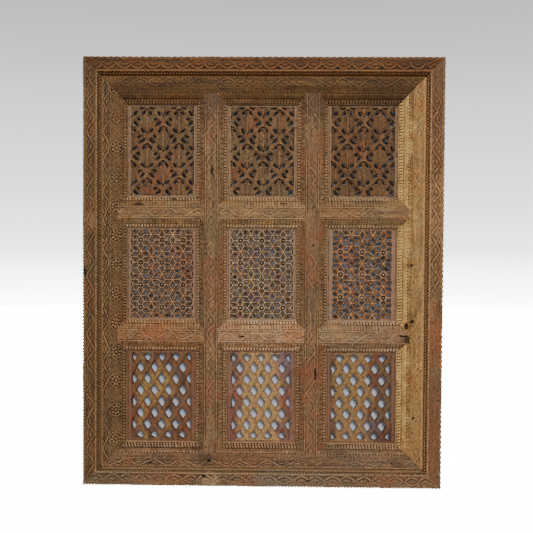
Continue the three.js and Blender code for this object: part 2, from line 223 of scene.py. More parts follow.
def beads(v, s, width, pitch, lean=0.25, deep=2.1):
    """One row of separate beads that lean along the strip, each parted in two by a fine line."""
    x, number = repeated(s + lean * v, pitch)
    bead = 1 - (x / (0.41 * pitch)) ** 2 - ((v - width / 2) / (0.56 * width)) ** 2
    cut = (deep + 0.4 * np.sin(number * 3.1)) * (1 - np.clip(bead, 0, 1) ** 0.6)
    return cut + groove(v - width / 2, 0.6, 1.0)


def twin_beads(v, s, width, pitch, deep=3.4):
    """Two rows of small three-sided beads, set in turn, on a deep ground."""
    depth = deep + 0 * s
    for row, centre in enumerate((0.27, 0.75)):
        x, number = repeated(s + row * pitch / 2, pitch)
        bead = np.abs(x) / (0.44 * pitch) + np.abs(v - centre * width) / (0.31 * width)
        depth = np.minimum(depth, deep * smooth(0.45, 1.05, bead) + 0.3 * (1 + np.sin(number * 2.3)))
    return depth


def rosettes(v, s, width, pitch, ground=2.3):
    """Round flowers of eight petals and nested lozenges in turn."""
    x, number = repeated(s, pitch)
    across, along = (v - width / 2) / (width / 2), x / (pitch / 2)
    round_off = np.hypot(across * 1.02, x / (width / 2))
    petal = np.abs(np.sin(4 * np.arctan2(across, x / (width / 2)) + number))
    flower = 0.3 + 1.7 * smooth(0.75, 0.35, petal) * smooth(0.25, 0.4, round_off)
    flower = flower + groove(round_off - 0.3, 0.09, 1.8) + groove(round_off - 1, 0.1, 1.8)
    flower = np.where(round_off > 1.05, 1.0 + 0.8 * np.cos(9 * round_off), flower)
    nest = (np.abs(across) + np.abs(along)) * 3.1
    lozenge = 0.2 + ground * smooth(0.2, 0.4, np.abs(nest - np.floor(nest + 0.5)))
    depth = np.where(number % 2 == 0, flower, lozenge)
    return depth * smooth(0.1, 0.9, np.minimum(v, width - v))


def tongues(v, s, width, pitch, deep=1.6):
    """Leaf tongues side by side, each with a midrib, on the slope of a bar."""
    x, _ = repeated(s, pitch)
    edge = pitch / 2 * np.sqrt(np.clip(1 - (v / (width * 1.12)) ** 2, 0.02, 1))
    out = smooth(edge - 0.9, edge + 0.5, np.abs(x))
    rib = 0.5 * (1 - smooth(0.2, 1.0, np.abs(x)))
    return deep * out + rib


def dashes(v, s, width, pitch, deep=1.5):
    """Short dentils cut square across a strip."""
    x, _ = repeated(s, pitch)
    return deep * smooth(0.26 * pitch, 0.38 * pitch, np.abs(x)) * smooth(0, 0.8, np.minimum(v, width - v))


def notches(a, s, pitch, deep=3.6):
    """Three-sided nicks in the outer arris."""
    x, _ = repeated(s, pitch)
    return np.clip(deep * (1 - np.abs(x) / 2.6), 0, deep) * (1 - smooth(3.5, 8.5, a))


# Sections: corners as (a, h), in order from the back of the outer side over the face


def outer_section():
    """The outer frame's section, and the numbers of the first and the last point of its carved part."""
    front, inside = OUTER_FRONT, OUTER_WIDTH - GAP
    section = [(0, 0), (0, front - 14), (0, front - 4), (4, front), (9, front), (11, front - 2),
               (37, front - 2), (39, front), (43, front), (53, front - 10), (53, BEAD_FRONT),
               (inside, BEAD_FRONT), (inside, 0)]
    return section, (1, 9)


def grooved_side(edge, back):
    """The side that faces a board, from its bead down, with the groove for the board's tongue."""
    front, behind = BOARD_FRONT + GAP, BOARD_BACK - GAP
    return [(edge - 3, SLOPE_FOOT), (edge, SLOPE_FOOT - 4), (edge, front), (edge - TONGUE_GROOVE, front),
            (edge - TONGUE_GROOVE, behind), (edge, behind), (edge, back)]


def inner_section(band):
    """The section of one side of the inner frame: vine, leaf band, slope and bead."""
    vine_end, leaves, slope = band["vine"], band["leaves"], band["slope"]
    front = INNER_FRONT
    face = [(0, INNER_BACK), (0, front - 2), (2, front), (vine_end, front), (vine_end + 2, front - 3),
            (leaves, front - 3), (slope, SLOPE_FOOT), (slope + 2, BEAD_FRONT)]
    return face + grooved_side(band["width"], INNER_BACK), (1, 9)


def bar_section(flat, front):
    """The section of a bar, the same on both sides of its flat."""
    foot = flat / 2 + BAR_STEP + BAR_SLOPE
    side = [(flat / 2, front), (flat / 2 + BAR_STEP, front - 2), (foot, SLOPE_FOOT), (foot + 2, BEAD_FRONT)]
    side = side + grooved_side(BAR_WIDTH / 2, BAR_BACK)
    return [(-a, h) for a, h in reversed(side)] + side, (5, 16)


def board_section():
    """A board's section, tongues included."""
    half = OPENING[0] / 2 + TONGUE
    return [(-half, BOARD_BACK), (-half, BOARD_FRONT), (2 - half, BOARD_FRONT), (half - 2, BOARD_FRONT),
            (half, BOARD_FRONT), (half, BOARD_BACK)], (2, 3)


# Nail holes, knocks and cracks, as x and z, half length along x, half length along z and depth
DAMAGE = (
    (438, -577, 3.2, 3.2, 7), (447, -1027, 3.2, 3.2, 7), (424, -757, 5.5, 9, 9), (441, -742, 6, 5, 4),
    (-367, -401, 14, 2.6, 4), (-264, -385, 9, 2.0, 3.5), (416, -785, 13, 2.2, 8), (428, -797, 6, 12, 4),
    (356, -556, 6, 4, 4), (365, -589, 8, 5, 4), (372, -572, 4, 9, 3), (-154, -1159, 4, 4, 6),
    (-169, -1202, 7, 3, 4), (-330, -1168, 10, 2.4, 3), (140, -1214, 3, 3, 5), (-470, -1150, 3, 3, 5),
    (470, -1150, 3, 3, 5), (-523, -600, 6, 16, 2), (60, -396, 8, 2, 3), (-60, -790, 10, 2, 3),
    (-150, -300, 3, 14, 2.5), (158, -900, 3, 18, 2.5), (150, -520, 2.5, 2.5, 6),
)


def damage(x, z):
    """The depth that later holes, knocks and cracks add at a place of the face."""
    deepest = np.zeros(x.shape)
    for across, up, half_x, half_z, deep in DAMAGE:
        away = np.hypot((x - across) / half_x, (z - up) / half_z)
        deepest = np.maximum(deepest, deep * smooth(1.2, 0.7, away))
    return deepest


def close_points(section, carved, fine):
    """The section as points, close together over its carved part, each with the way into the wood there."""
    first, last = carved
    points, faced = [], []
    for index, (start, end) in enumerate(zip(section, section[1:] + section[:1])):
        start, end = np.array(start, float), np.array(end, float)
        count = max(1, round(np.linalg.norm(end - start) / fine)) if first <= index < last else 1
        for step in range(count):
            points.append(start + (end - start) * step / count)
            faced.append(first <= index < last or (index == last and step == 0))
    points = np.array(points)
    run = np.roll(points, -1, 0) - points
    run /= np.linalg.norm(run, axis=1)[:, None]
    inward = np.stack([run[:, 1], -run[:, 0]], 1)
    inward = inward + np.roll(inward, 1, 0)
    inward /= np.linalg.norm(inward, axis=1)[:, None]
    return points, inward, np.array(faced)


# Plan outlines as (x, z) in millimetres


def mitred(outer_start, outer_end, inner_end, inner_start):
    """A mitred side, each end set back along it so that two sides meet with the usual gap."""
    corners = np.array([outer_start, outer_end, inner_end, inner_start], float)
    along = corners[1] - corners[0]
    along /= np.linalg.norm(along)
    offset = (corners - corners.mean(0)) @ along
    return corners - np.sign(offset)[:, None] * along * GAP * 0.75


def frame_corners(x, top, bottom):
    return {"tl": (-x, top), "tr": (x, top), "br": (x, bottom), "bl": (-x, bottom)}


def bar_outline(flat, low, low_opening, high_opening, high, grow):
    """A bar centred on a = 0 whose ends narrow at 45 degrees to its flat."""
    half = BAR_WIDTH / 2 + grow
    low_half = max(BAR_WIDTH / 2 - (low_opening - low), flat / 2 + BAR_STEP) + grow
    high_half = max(BAR_WIDTH / 2 - (high - high_opening), flat / 2 + BAR_STEP) + grow
    low_run, high_run = low_opening - (half - low_half), high_opening + (half - high_half)
    right = [(low_half, low - grow), (low_half, low_run), (half, low_opening), (half, high_opening),
             (high_half, high_run), (high_half, high + grow)]
    return right + [(-a, s) for a, s in reversed(right)]


def upright_plan(index, grow=0):
    low, high = FRAME_BOTTOM + INNER["bottom"]["leaves"], FRAME_TOP - INNER["top"]["leaves"]
    outline = bar_outline(UPRIGHT_FLAT, low, OPEN_BOTTOM, OPEN_TOP, high, grow)
    return [(UPRIGHT_X[index] + a, s) for a, s in outline]


def cross_ends(column):
    beside = UPRIGHT_FLAT / 2 + BAR_STEP
    low = -FRAME_X + INNER["left"]["leaves"] if column == 0 else UPRIGHT_X[column - 1] + beside
    high = FRAME_X - INNER["right"]["leaves"] if column == 2 else UPRIGHT_X[column] - beside
    return low, high


def cross_plan(row, column, grow=0):
    low, high = cross_ends(column)
    left = COLUMN_X[column] - OPENING[0] / 2
    outline = bar_outline(CROSS_FLAT, low, left, left + OPENING[0], high, grow)
    return [(s, CROSS_Z[row] - a) for a, s in outline]


def rounded_plan():
    """The outline of the whole panel with its worn corners."""
    r = CORNER_ROUND
    points = []
    for quarter, (x, z) in enumerate([(RIGHT - r, TOP - r), (LEFT + r, TOP - r), (LEFT + r, BOTTOM + r),
                                      (RIGHT - r, BOTTOM + r)]):
        for step in range(7):
            angle = math.radians(90 * quarter + 15 * step)
            points.append((x + r * math.cos(angle), z + r * math.sin(angle)))
    return points


# Meshes


def deselect():
    if bpy.context.object and bpy.context.object.mode != "OBJECT":
        bpy.ops.object.mode_set(mode="OBJECT")
    bpy.ops.object.select_all(action="DESELECT")


def choose(piece):
    deselect()
    piece.select_set(True)
    bpy.context.view_layer.objects.active = piece


def mark_points(piece, name, values):
    """Keeps a number for every point of the piece as an attribute."""
    kept = piece.data.attributes.new(name, "FLOAT", "POINT")
    kept.data.foreach_set("value", np.asarray(values, np.float32).ravel())


def swept(name, section, carved, fine, ends, step, place, depth):
    """A prism along s with its face carved. place puts (a, h, s) in the room, and depth(a, s) is the cut."""
    points, inward, faced = close_points(section, carved, fine)
    count = max(2, round((ends[1] - ends[0]) / step))
    along = np.linspace(ends[0], ends[1], count + 1)
    loop = np.r_[0 : len(points), 0]
    a, s = np.meshgrid(points[loop, 0], along, indexing="ij")
    h = np.repeat(points[loop, 1][:, None], len(along), 1)
    x, _, z = place(a, h, s)
    on_face = faced[loop][:, None]
    knock = np.where(on_face, damage(x + 0 * z, z + 0 * x), 0)
    cut = np.where(on_face, depth(a, s), 0)
    a = a + inward[loop, 0][:, None] * (cut + knock)
    h = h + inward[loop, 1][:, None] * (cut + knock)
    deselect()
    bpy.ops.mesh.primitive_grid_add(x_subdivisions=count, y_subdivisions=len(points), size=1)
    piece = bpy.context.object
    piece.name = piece.data.name = name
    room = np.stack(place(a, h, s), -1).reshape(-1, 3) * MM
    piece.data.vertices.foreach_set("co", room.astype(np.float32).ravel())
    for kept_name, values in (("cut", cut), ("knock", knock)):
        mark_points(piece, kept_name, values)
    bpy.ops.object.mode_set(mode="EDIT")
    bpy.ops.mesh.select_all(action="SELECT")
    bpy.ops.mesh.remove_doubles(threshold=1e-6)
    bpy.ops.mesh.fill_holes(sides=0)
    bpy.ops.mesh.select_all(action="SELECT")
    bpy.ops.mesh.normals_make_consistent(inside=False)
    bpy.ops.object.mode_set(mode="OBJECT")
    return piece


def stacked(name, stacks):
    """Closed solids, each from a stack of rings with the same number of points. For cutting only."""
    points, faces = [], []
    for rings in stacks:
        size, start = len(rings[0]), len(points)
        for ring in rings:
            points.extend(ring)
        faces.append([start + k for k in range(size)])
        faces.append([start + (len(rings) - 1) * size + k for k in reversed(range(size))])
        for level in range(len(rings) - 1):
            base = start + level * size
            for k in range(size):
                after = (k + 1) % size
                faces.append([base + after, base + k, base + size + k, base + size + after])
    mesh = bpy.data.meshes.new(name)
    mesh.from_pydata([tuple(c * MM for c in point) for point in points], [], faces)
    cutter = bpy.data.objects.new(name, mesh)
    bpy.context.collection.objects.link(cutter)
    choose(cutter)
    bpy.ops.object.mode_set(mode="EDIT")
    bpy.ops.mesh.select_all(action="SELECT")
    bpy.ops.mesh.normals_make_consistent(inside=False)
    bpy.ops.object.mode_set(mode="OBJECT")
    return cutter


def plan_cutter(outlines):
    """Cuts these outlines, as x and z in millimetres, through the whole depth of the panel."""
    return stacked("cutter", [[[(x, y, z) for x, z in outline] for y in (-90, 10)] for outline in outlines])


def trim(piece, operation, cutter):
    """Cuts the piece with the cutter, keeps what the operation says, and removes the cutter."""
    choose(piece)
    tool = piece.modifiers.new("trim", "BOOLEAN")
    tool.operation = operation
    tool.object = cutter
    tool.solver = "MANIFOLD"
    before = len(piece.data.vertices)
    bpy.ops.object.modifier_apply(modifier="trim")
    bpy.data.objects.remove(cutter)
    if not piece.data.vertices:
        raise RuntimeError(f"{piece.name} lost all of its {before} points when it was trimmed")


def mark_relief(piece, tall, rounds=24, span=1.2):
    """Writes how far each point stands out of its neighbourhood, as an attribute for grime and painted shade
    in the hollows and for wear and painted highlight on the ridges.

    It comes from the cut and, by the share tall, from the height above the wall. The plain back is even."""
    mesh = piece.data
    count = len(mesh.vertices)
    points = np.empty(count * 3, np.float32)
    mesh.vertices.foreach_get("co", points)
    cut, knock = np.zeros(count, np.float32), np.zeros(count, np.float32)
    for kept_name, values in (("cut", cut), ("knock", knock)):
        mesh.attributes[kept_name].data.foreach_get("value", values)
        mesh.attributes.remove(mesh.attributes[kept_name])
    height = tall * (knock - points.reshape(-1, 3)[:, 1] / MM) - (1 - tall) * cut
    ends = np.empty(len(mesh.edges) * 2, np.int32)
    mesh.edges.foreach_get("vertices", ends)
    one, other = ends.reshape(-1, 2).T
    number = np.bincount(one, minlength=count) + np.bincount(other, minlength=count)
    level = height.astype(float)
    for _ in range(rounds):
        total = np.bincount(one, level[other], count) + np.bincount(other, level[one], count)
        level = 0.5 * level + 0.5 * total / np.maximum(number, 1)
    relief = np.clip((height - level) / (2 * span) + 0.5 - 0.2 * knock, 0, 1)
    relief[points.reshape(-1, 3)[:, 1] > -0.012] = 0.5
    mark_points(piece, "relief", relief)


def thinned(piece, limit):
    """Drops points, from the flattest places first, until no more than limit triangles are left."""
    piece.data.calc_loop_triangles()
    count = len(piece.data.loop_triangles)
    if count > limit:
        choose(piece)
        piece.modifiers.new("thin", "DECIMATE").ratio = limit / count
        bpy.ops.object.modifier_apply(modifier="thin")


def kept_inside(piece):
    """Puts back the points that thinning pushed out of the box of the solids."""
    points = np.empty(len(piece.data.vertices) * 3, np.float32)
    piece.data.vertices.foreach_get("co", points)
    inside = np.clip(points.reshape(-1, 3), np.array(cad_box[0]), np.array(cad_box[1]))
    piece.data.vertices.foreach_set("co", inside.astype(np.float32).ravel())


def finished(piece, node, material, limit, tall=0.2):
    """Thins and shades the piece, gives it its wood and puts it in the place of its solid."""
    mark_relief(piece, tall)
    thinned(piece, limit)
    kept_inside(piece)
    choose(piece)
    bpy.ops.object.shade_smooth_by_angle(angle=math.radians(38))
    piece.data.materials.clear()
    piece.data.materials.append(material)
    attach(piece, "root")
    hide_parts(node)


# Materials


def srgb(red, green, blue):
    """A colour as a picture shows it, 0 to 255, as the linear colour that Blender wants."""
    shares = [c / 255 for c in (red, green, blue)]
    return tuple(c / 12.92 if c <= 0.04045 else ((c + 0.055) / 1.055) ** 2.4 for c in shares)


def node(tree, kind, links=None, **settings):
    """Adds a shader node. links sets its inputs, by name or number, to values or to other nodes' outputs."""
    made = tree.nodes.new(kind)
    for key, value in settings.items():
        setattr(made, key, value)
    for key, value in (links or {}).items():
        socket = made.inputs[key]
        if isinstance(value, bpy.types.NodeSocket):
            tree.links.new(value, socket)
        elif isinstance(value, tuple) and len(value) == 3 and socket.type == "RGBA":
            socket.default_value = (*value, 1)
        else:
            socket.default_value = value
    return made


def blended(tree, share, one, other, blend="MIX"):
    """Mixes two colours, and gives the result's socket."""
    made = node(tree, "ShaderNodeMix", data_type="RGBA", blend_type=blend)
    for socket, value in ((made.inputs[0], share), (made.inputs[6], one), (made.inputs[7], other)):
        if isinstance(value, bpy.types.NodeSocket):
            tree.links.new(value, socket)
        else:
            socket.default_value = (*value, 1) if isinstance(value, tuple) else value
    return made.outputs[2]


def ramped(tree, value, low, high, to_low=0.0, to_high=1.0):
    """A soft step from to_low, where the value is low, to to_high, where it is high."""
    made = node(tree, "ShaderNodeMapRange", {0: value, 1: low, 2: high, 3: to_low, 4: to_high})
    made.interpolation_type = "SMOOTHSTEP"
    return made.outputs[0]


def noise(tree, where, scale, detail=3.0, rough=0.55):
    inputs = {"Vector": where, "Scale": scale, "Detail": detail, "Roughness": rough}
    return node(tree, "ShaderNodeTexNoise", inputs).outputs["Fac"]


def stretched(tree, coords, scale, seed):
    """Coordinates scaled, and moved so that each seed gives another piece of the noise."""
    moved = (seed, seed * 0.7, seed * 1.3)
    return node(tree, "ShaderNodeMapping", {"Vector": coords, "Scale": scale, "Location": moved}).outputs[0]


def object_place(tree):
    return node(tree, "ShaderNodeTexCoord").outputs["Object"]


def along_axis(tree, coords, axis):
    """One of the coordinates by itself: 0 for x, 1 for y and 2 for z."""
    return node(tree, "ShaderNodeSeparateXYZ", {0: coords}).outputs[axis]


def maths(tree, operation, *values):
    return node(tree, "ShaderNodeMath", dict(enumerate(values)), operation=operation).outputs[0]


def beyond(tree, coords, middle, reach, soft=0.0015):
    """1 outside a rectangle of half sizes reach round middle in x and z, and 0 inside it."""
    shares = []
    for axis, centre, half in ((0, middle[0], reach[0]), (2, middle[1], reach[1])):
        away = maths(tree, "ABSOLUTE", maths(tree, "SUBTRACT", along_axis(tree, coords, axis), centre))
        shares.append(ramped(tree, away, half - soft, half + soft))
    return maths(tree, "MAXIMUM", *shares)


def bare_material(name):
    """A new material with no nodes yet, and its node tree."""
    made = bpy.data.materials.new(name)
    made.use_nodes = True
    made.node_tree.nodes.clear()
    return made, made.node_tree


def shown_by(tree, shader):
    """Joins a shader to the material's output."""
    out = node(tree, "ShaderNodeOutputMaterial")
    tree.links.new(shader, out.inputs[0])


def stained(tree, coords, colour, target, tone, ragged_by):
    """The colour with the stains and rubbed places of a node. ragged_by breaks up their edges."""
    for x, z, radius, other, strength in STAINS.get(target, ()):
        centre = {0: coords, 1: (x, STAIN_DEPTH, z)}
        spread = node(tree, "ShaderNodeVectorMath", centre, operation="DISTANCE").outputs["Value"]
        inner = maths(tree, "SUBTRACT", spread, radius * 1.2)
        ragged = maths(tree, "MULTIPLY_ADD", ragged_by, radius * 2.4, inner)
        share = ramped(tree, ragged, radius * 1.3, radius * 0.2, 0, strength)
        colour = blended(tree, share, colour, tone[other])
    return colour


def shaded_hole_walls(tree, coords):
    """1 on the walls of a board's holes, where painted shade goes, and 0 on its carved front and its flat
    back.
    """
    depth = along_axis(tree, coords, 1)
    behind_front = ramped(tree, depth, -0.0284, -0.0258, 0, 0.85)
    return maths(tree, "MULTIPLY", behind_front, ramped(tree, depth, -0.0152, -0.0162))


def aged_wood(target, tone, grain, seed, sap=(), margin=None):
    """Old carved wood: streaks along the grain, mottling, grime and painted shade in the cuts, and ridges
    made pale by wear and painted highlight.

    target is the node it is for, tone has the colours and grain is "x" or "z". sap lists pale strips as
    (middle, half width) and margin is the middle and half sizes of a board's field, in metres."""
    made, tree = bare_material(f"{target}_wood")
    coords = object_place(tree)
    fibre_scale = (0.12, 1, 1) if grain == "x" else (1, 1, 0.12)
    even_scale = (1, 1, 1)
    fibres = noise(tree, stretched(tree, coords, fibre_scale, seed), 420, 4)
    streaks = noise(tree, stretched(tree, coords, fibre_scale, seed + 3), 95, 4, 0.6)
    patches = noise(tree, stretched(tree, coords, even_scale, seed + 7), 10, 4, 0.6)
    fields = noise(tree, stretched(tree, coords, even_scale, seed + 9), 17, 3, 0.5)
    spots = noise(tree, stretched(tree, coords, even_scale, seed + 11), 48, 3, 0.6)
    mottle = noise(tree, stretched(tree, coords, even_scale, seed + 13), 130, 3, 0.65)
    # The wood itself, in streaks and patches
    colour = blended(tree, ramped(tree, streaks, 0.34, 0.66), tone["dark"], tone["light"])
    colour = blended(tree, ramped(tree, patches, 0.44, 0.62, 0, 0.6), colour, tone["red"])
    colour = blended(tree, ramped(tree, fields, 0.5, 0.62, 0, 0.65), colour, tone["olive"])
    colour = blended(tree, ramped(tree, spots, 0.52, 0.7, 0, 0.6), colour, tone["grey"])
    for centre, half in sap:
        across = along_axis(tree, coords, 0 if grain == "z" else 2)
        wander = maths(tree, "MULTIPLY_ADD", fields, 0.08, centre - 0.04)
        off = maths(tree, "ABSOLUTE", maths(tree, "SUBTRACT", across, wander))
        colour = blended(tree, ramped(tree, off, half + 0.012, half - 0.008, 0, 0.75), colour, tone["sap"])
    colour = stained(tree, coords, colour, target, tone, spots)
    colour = blended(tree, ramped(tree, mottle, 0.56, 0.36, 0, 0.55), colour, tone["dark"])
    colour = blended(tree, ramped(tree, fibres, 0.5, 0.3, 0, 0.35), colour, tone["dirt"])
    if margin:
        uneven = ramped(tree, spots, 0.3, 0.6, 0.45, 0.85)
        dusty = maths(tree, "MULTIPLY", beyond(tree, coords, *margin), uneven)
        colour = blended(tree, dusty, colour, tone["dust"])
    # Wear and painted highlight on the ridges, grime and painted shade in the cuts, and painted shade on the
    # walls of the holes
    relief = node(tree, "ShaderNodeAttribute", attribute_name="relief").outputs["Fac"]
    ridges = ramped(tree, relief, 0.56, 0.84, 0, 0.75)
    wear_and_highlight = maths(tree, "MULTIPLY", ridges, ramped(tree, mottle, 0.35, 0.6, 0.4, 1))
    colour = blended(tree, wear_and_highlight, colour, tone["worn"])
    colour = blended(tree, ramped(tree, relief, 0.46, 0.22, 0, 0.94), colour, tone["dirt"])
    # Painted shade on the walls of the holes
    if margin:
        colour = blended(tree, shaded_hole_walls(tree, coords), colour, tone["dirt"])
    rough = ramped(tree, spots, 0.3, 0.8, 0.62, 0.85)
    bump_height = maths(tree, "MULTIPLY_ADD", fibres, 0.6, mottle)
    bump = node(tree, "ShaderNodeBump", {"Height": bump_height, "Strength": 0.5, "Distance": 0.0012})
    inputs = {"Base Color": colour, "Roughness": rough, "Normal": bump.outputs[0], "Specular IOR Level": 0.22}
    shown_by(tree, node(tree, "ShaderNodeBsdfPrincipled", inputs).outputs[0])
    return made


def old_brass():
    """Dull brass with brown tarnish in patches, and a dark rim that is painted shade."""
    made, tree = bare_material("old_brass")
    patches = noise(tree, object_place(tree), 260, 3)
    colour = blended(tree, ramped(tree, patches, 0.4, 0.62), srgb(226, 206, 176), srgb(150, 120, 90))
    # Painted shade that darkens the dome towards its rim
    rim = node(tree, "ShaderNodeAttribute", attribute_name="rim").outputs["Fac"]
    colour = blended(tree, ramped(tree, rim, 0.35, 0.75), colour, srgb(48, 34, 24))
    rough = ramped(tree, patches, 0.35, 0.65, 0.3, 0.5)
    bump = node(tree, "ShaderNodeBump", {"Height": patches, "Strength": 0.3, "Distance": 0.0004})
    inputs = {"Base Color": colour, "Roughness": rough, "Metallic": 0.85, "Normal": bump.outputs[0]}
    shown_by(tree, node(tree, "ShaderNodeBsdfPrincipled", inputs).outputs[0])
    return made


def palette(**colours):
    """Named colours, each given as a picture shows it."""
    return {name: srgb(*colour) for name, colour in colours.items()}


# In each wood, the worn colour is real wear and painted highlight on the ridges, and the darkest colour is
# grime and painted shade in the cuts and on the walls of the holes
TONES = {
    "outer": palette(dark=(78, 52, 33), light=(124, 83, 49), red=(120, 66, 38), olive=(96, 74, 46),
                     grey=(106, 82, 59), worn=(160, 114, 72), dirt=(28, 19, 12)),
    "inner": palette(dark=(76, 58, 36), light=(130, 98, 56), red=(118, 74, 40), olive=(108, 88, 50),
                     grey=(112, 94, 66), worn=(172, 134, 84), dirt=(32, 23, 14)),
    "golden": palette(dark=(108, 77, 41), light=(178, 130, 62), red=(152, 92, 42), olive=(142, 112, 58),
                      grey=(150, 120, 76), worn=(222, 178, 106), dirt=(46, 32, 18), sap=(206, 160, 84)),
    "upright": palette(dark=(85, 62, 38), light=(142, 104, 60), red=(134, 78, 44), olive=(112, 88, 50),
                       grey=(124, 102, 71), worn=(190, 146, 92), dirt=(34, 24, 15)),
    "leaf": palette(dark=(84, 56, 34), light=(148, 102, 58), red=(150, 84, 46), olive=(122, 92, 52),
                    grey=(127, 106, 78), worn=(208, 144, 80), dirt=(28, 20, 13), dust=(136, 112, 88)),
    "star": palette(dark=(92, 62, 38), light=(164, 108, 56), red=(168, 84, 38), olive=(126, 98, 56),
                    grey=(139, 110, 82), worn=(226, 176, 120), dirt=(32, 22, 14), dust=(140, 114, 92),
                    sap=(216, 158, 84)),
    "diamond": palette(dark=(96, 60, 36), light=(162, 100, 50), red=(154, 76, 36), olive=(140, 98, 50),
                       grey=(136, 104, 78), worn=(206, 140, 74), dirt=(36, 24, 15), dust=(126, 92, 70),
                       sap=(202, 144, 66)),
}
# The same woods where their ridges are less pale. The shaded one, for the inner top rail, is painted shade
TONES["shaded"] = {**TONES["inner"], **palette(worn=(140, 108, 68))}
TONES["rubbed"] = {**TONES["golden"], **palette(worn=(196, 150, 84))}


def tinted(kind, red, green, blue):
    """A tone whose colours, all but those of grime and shade and of dust, are multiplied by these shares."""
    made = dict(TONES[kind])
    for key in made.keys() - {"dirt", "dust"}:
        made[key] = tuple(min(c * share, 0.9) for c, share in zip(made[key], (red, green, blue)))
    return made


# Stains and rubbed places of each node, as x and z in metres, radius, tone and strength. They are balls of
# colour, whose middles lie this far from the wall.
STAIN_DEPTH = -0.05
STAINS = {
    "outer_top_rail": ((-0.49, 0.0, 0.05, "dark", 0.7), (0.44, 0.0, 0.07, "dark", 0.7),
                       (0.05, 0.0, 0.05, "red", 0.5)),
    "outer_bottom_rail": ((-0.15, -1.213, 0.035, "worn", 0.8), (-0.24, -1.215, 0.05, "red", 0.6),
                          (0.04, -1.212, 0.07, "grey", 0.85), (0.2, -1.215, 0.08, "grey", 0.4),
                          (0.35, -1.22, 0.07, "red", 0.35), (-0.42, -1.215, 0.06, "dark", 0.6)),
    "outer_left_stile": ((-0.5, -0.02, 0.06, "dark", 0.6), (-0.505, -0.45, 0.03, "worn", 0.5),
                         (-0.5, -0.8, 0.07, "red", 0.5)),
    "outer_right_stile": ((0.51, -0.06, 0.12, "dark", 0.7), (0.51, -0.27, 0.05, "dark", 0.4),
                          (0.51, -0.42, 0.12, "worn", 0.4), (0.51, -0.78, 0.08, "red", 0.4),
                          (0.51, -0.99, 0.13, "red", 0.35), (0.51, -0.98, 0.15, "dark", 0.45),
                          (0.51, -1.18, 0.08, "dark", 0.35)),
    "inner_top_rail": ((0.36, -0.1, 0.11, "dark", 0.85), (0.18, -0.1, 0.06, "dark", 0.5),
                       (-0.4, -0.08, 0.05, "dark", 0.7)),
    "inner_bottom_rail": ((-0.17, -1.155, 0.035, "dirt", 0.6), (-0.09, -1.16, 0.05, "red", 0.6),
                          (-0.3, -1.16, 0.05, "dark", 0.6), (0.3, -1.16, 0.07, "grey", 0.5),
                          (0.405, -1.165, 0.025, "dirt", 0.5)),
    "inner_left_stile": ((-0.43, -0.75, 0.05, "red", 0.5), (-0.44, -1.02, 0.05, "dark", 0.5)),
    "inner_right_stile": ((0.441, -0.728, 0.018, "dirt", 0.7), (0.44, -0.757, 0.013, "dark", 0.8),
                          (0.43, -0.577, 0.008, "dirt", 0.5), (0.44, -0.33, 0.03, "red", 0.4),
                          (0.45, -1.1, 0.06, "red", 0.5), (0.455, -0.95, 0.03, "red", 0.5),
                          (0.445, -1.16, 0.03, "dark", 0.7)),
    "upright_bar_left": ((-0.15, -0.95, 0.05, "red", 0.6), (-0.154, -0.1, 0.07, "dark", 0.9)),
    "upright_bar_right": ((0.14, -0.9, 0.06, "red", 0.7), (0.15, -0.1, 0.07, "dark", 0.9),
                          (0.15, -0.6, 0.04, "red", 0.4)),
    "cross_bar_upper_left": ((-0.367, -0.401, 0.012, "dark", 0.8), (-0.4, -0.44, 0.02, "red", 0.5)),
    "cross_bar_lower_left": ((-0.3, -0.775, 0.05, "red", 0.7), (-0.38, -0.81, 0.03, "dark", 0.5)),
    "cross_bar_lower_middle": ((0.1, -0.775, 0.03, "red", 0.5),),
    "cross_bar_lower_right": ((0.425, -0.795, 0.022, "dirt", 0.75), (0.37, -0.8, 0.03, "dark", 0.6)),
    "star_board_left": ((-0.266, -0.492, 0.028, "sap", 0.85), (-0.262, -0.55, 0.022, "sap", 0.7),
                        (-0.26, -0.61, 0.018, "sap", 0.5), (-0.23, -0.6, 0.03, "dark", 0.6)),
    "star_board_middle": ((-0.02, -0.62, 0.04, "sap", 0.4), (0.05, -0.55, 0.03, "dark", 0.5)),
    "star_board_right": ((0.36, -0.57, 0.035, "dark", 0.8), (0.29, -0.6, 0.03, "red", 0.5),
                         (0.25, -0.66, 0.03, "sap", 0.5)),
    "diamond_board_left": ((-0.305, -0.93, 0.055, "sap", 0.8), (-0.33, -0.97, 0.05, "sap", 0.6),
                           (-0.28, -1.05, 0.03, "sap", 0.4), (-0.31, -1.09, 0.03, "sap", 0.4),
                           (-0.38, -1.0, 0.03, "dark", 0.4)),
    "diamond_board_middle": ((0.08, -0.865, 0.04, "grey", 0.9), (0.085, -0.9, 0.03, "dark", 0.6),
                             (-0.085, -0.96, 0.04, "red", 0.6), (0.09, -1.0, 0.03, "red", 0.6)),
    "diamond_board_right": ((0.33, -1.06, 0.04, "grey", 0.9), (0.37, -1.09, 0.035, "dark", 0.7),
                            (0.375, -0.91, 0.05, "olive", 0.9), (0.375, -1.0, 0.05, "olive", 0.9)),
}


# Settings that a user would change


class FrameCarving(bpy.types.PropertyGroup):
    """Pitches and fineness of the carving on the frames and bars."""

    vine_pitch: bpy.props.FloatProperty(
        name="Vine pitch", description="Length of one eye and crossing", default=0.0425, unit="LENGTH")
    bead_pitch: bpy.props.FloatProperty(
        name="Bead pitch", description="Distance from bead to bead", default=0.0088, unit="LENGTH")
    tongue_pitch: bpy.props.FloatProperty(
        name="Tongue pitch", description="Width of one leaf tongue", default=0.0148, unit="LENGTH")
    step: bpy.props.FloatProperty(
        name="Step", description="Length of one face along a member", default=0.0013, unit="LENGTH")
    fine: bpy.props.FloatProperty(
        name="Fineness", description="Length of one face across a member", default=0.001, unit="LENGTH")


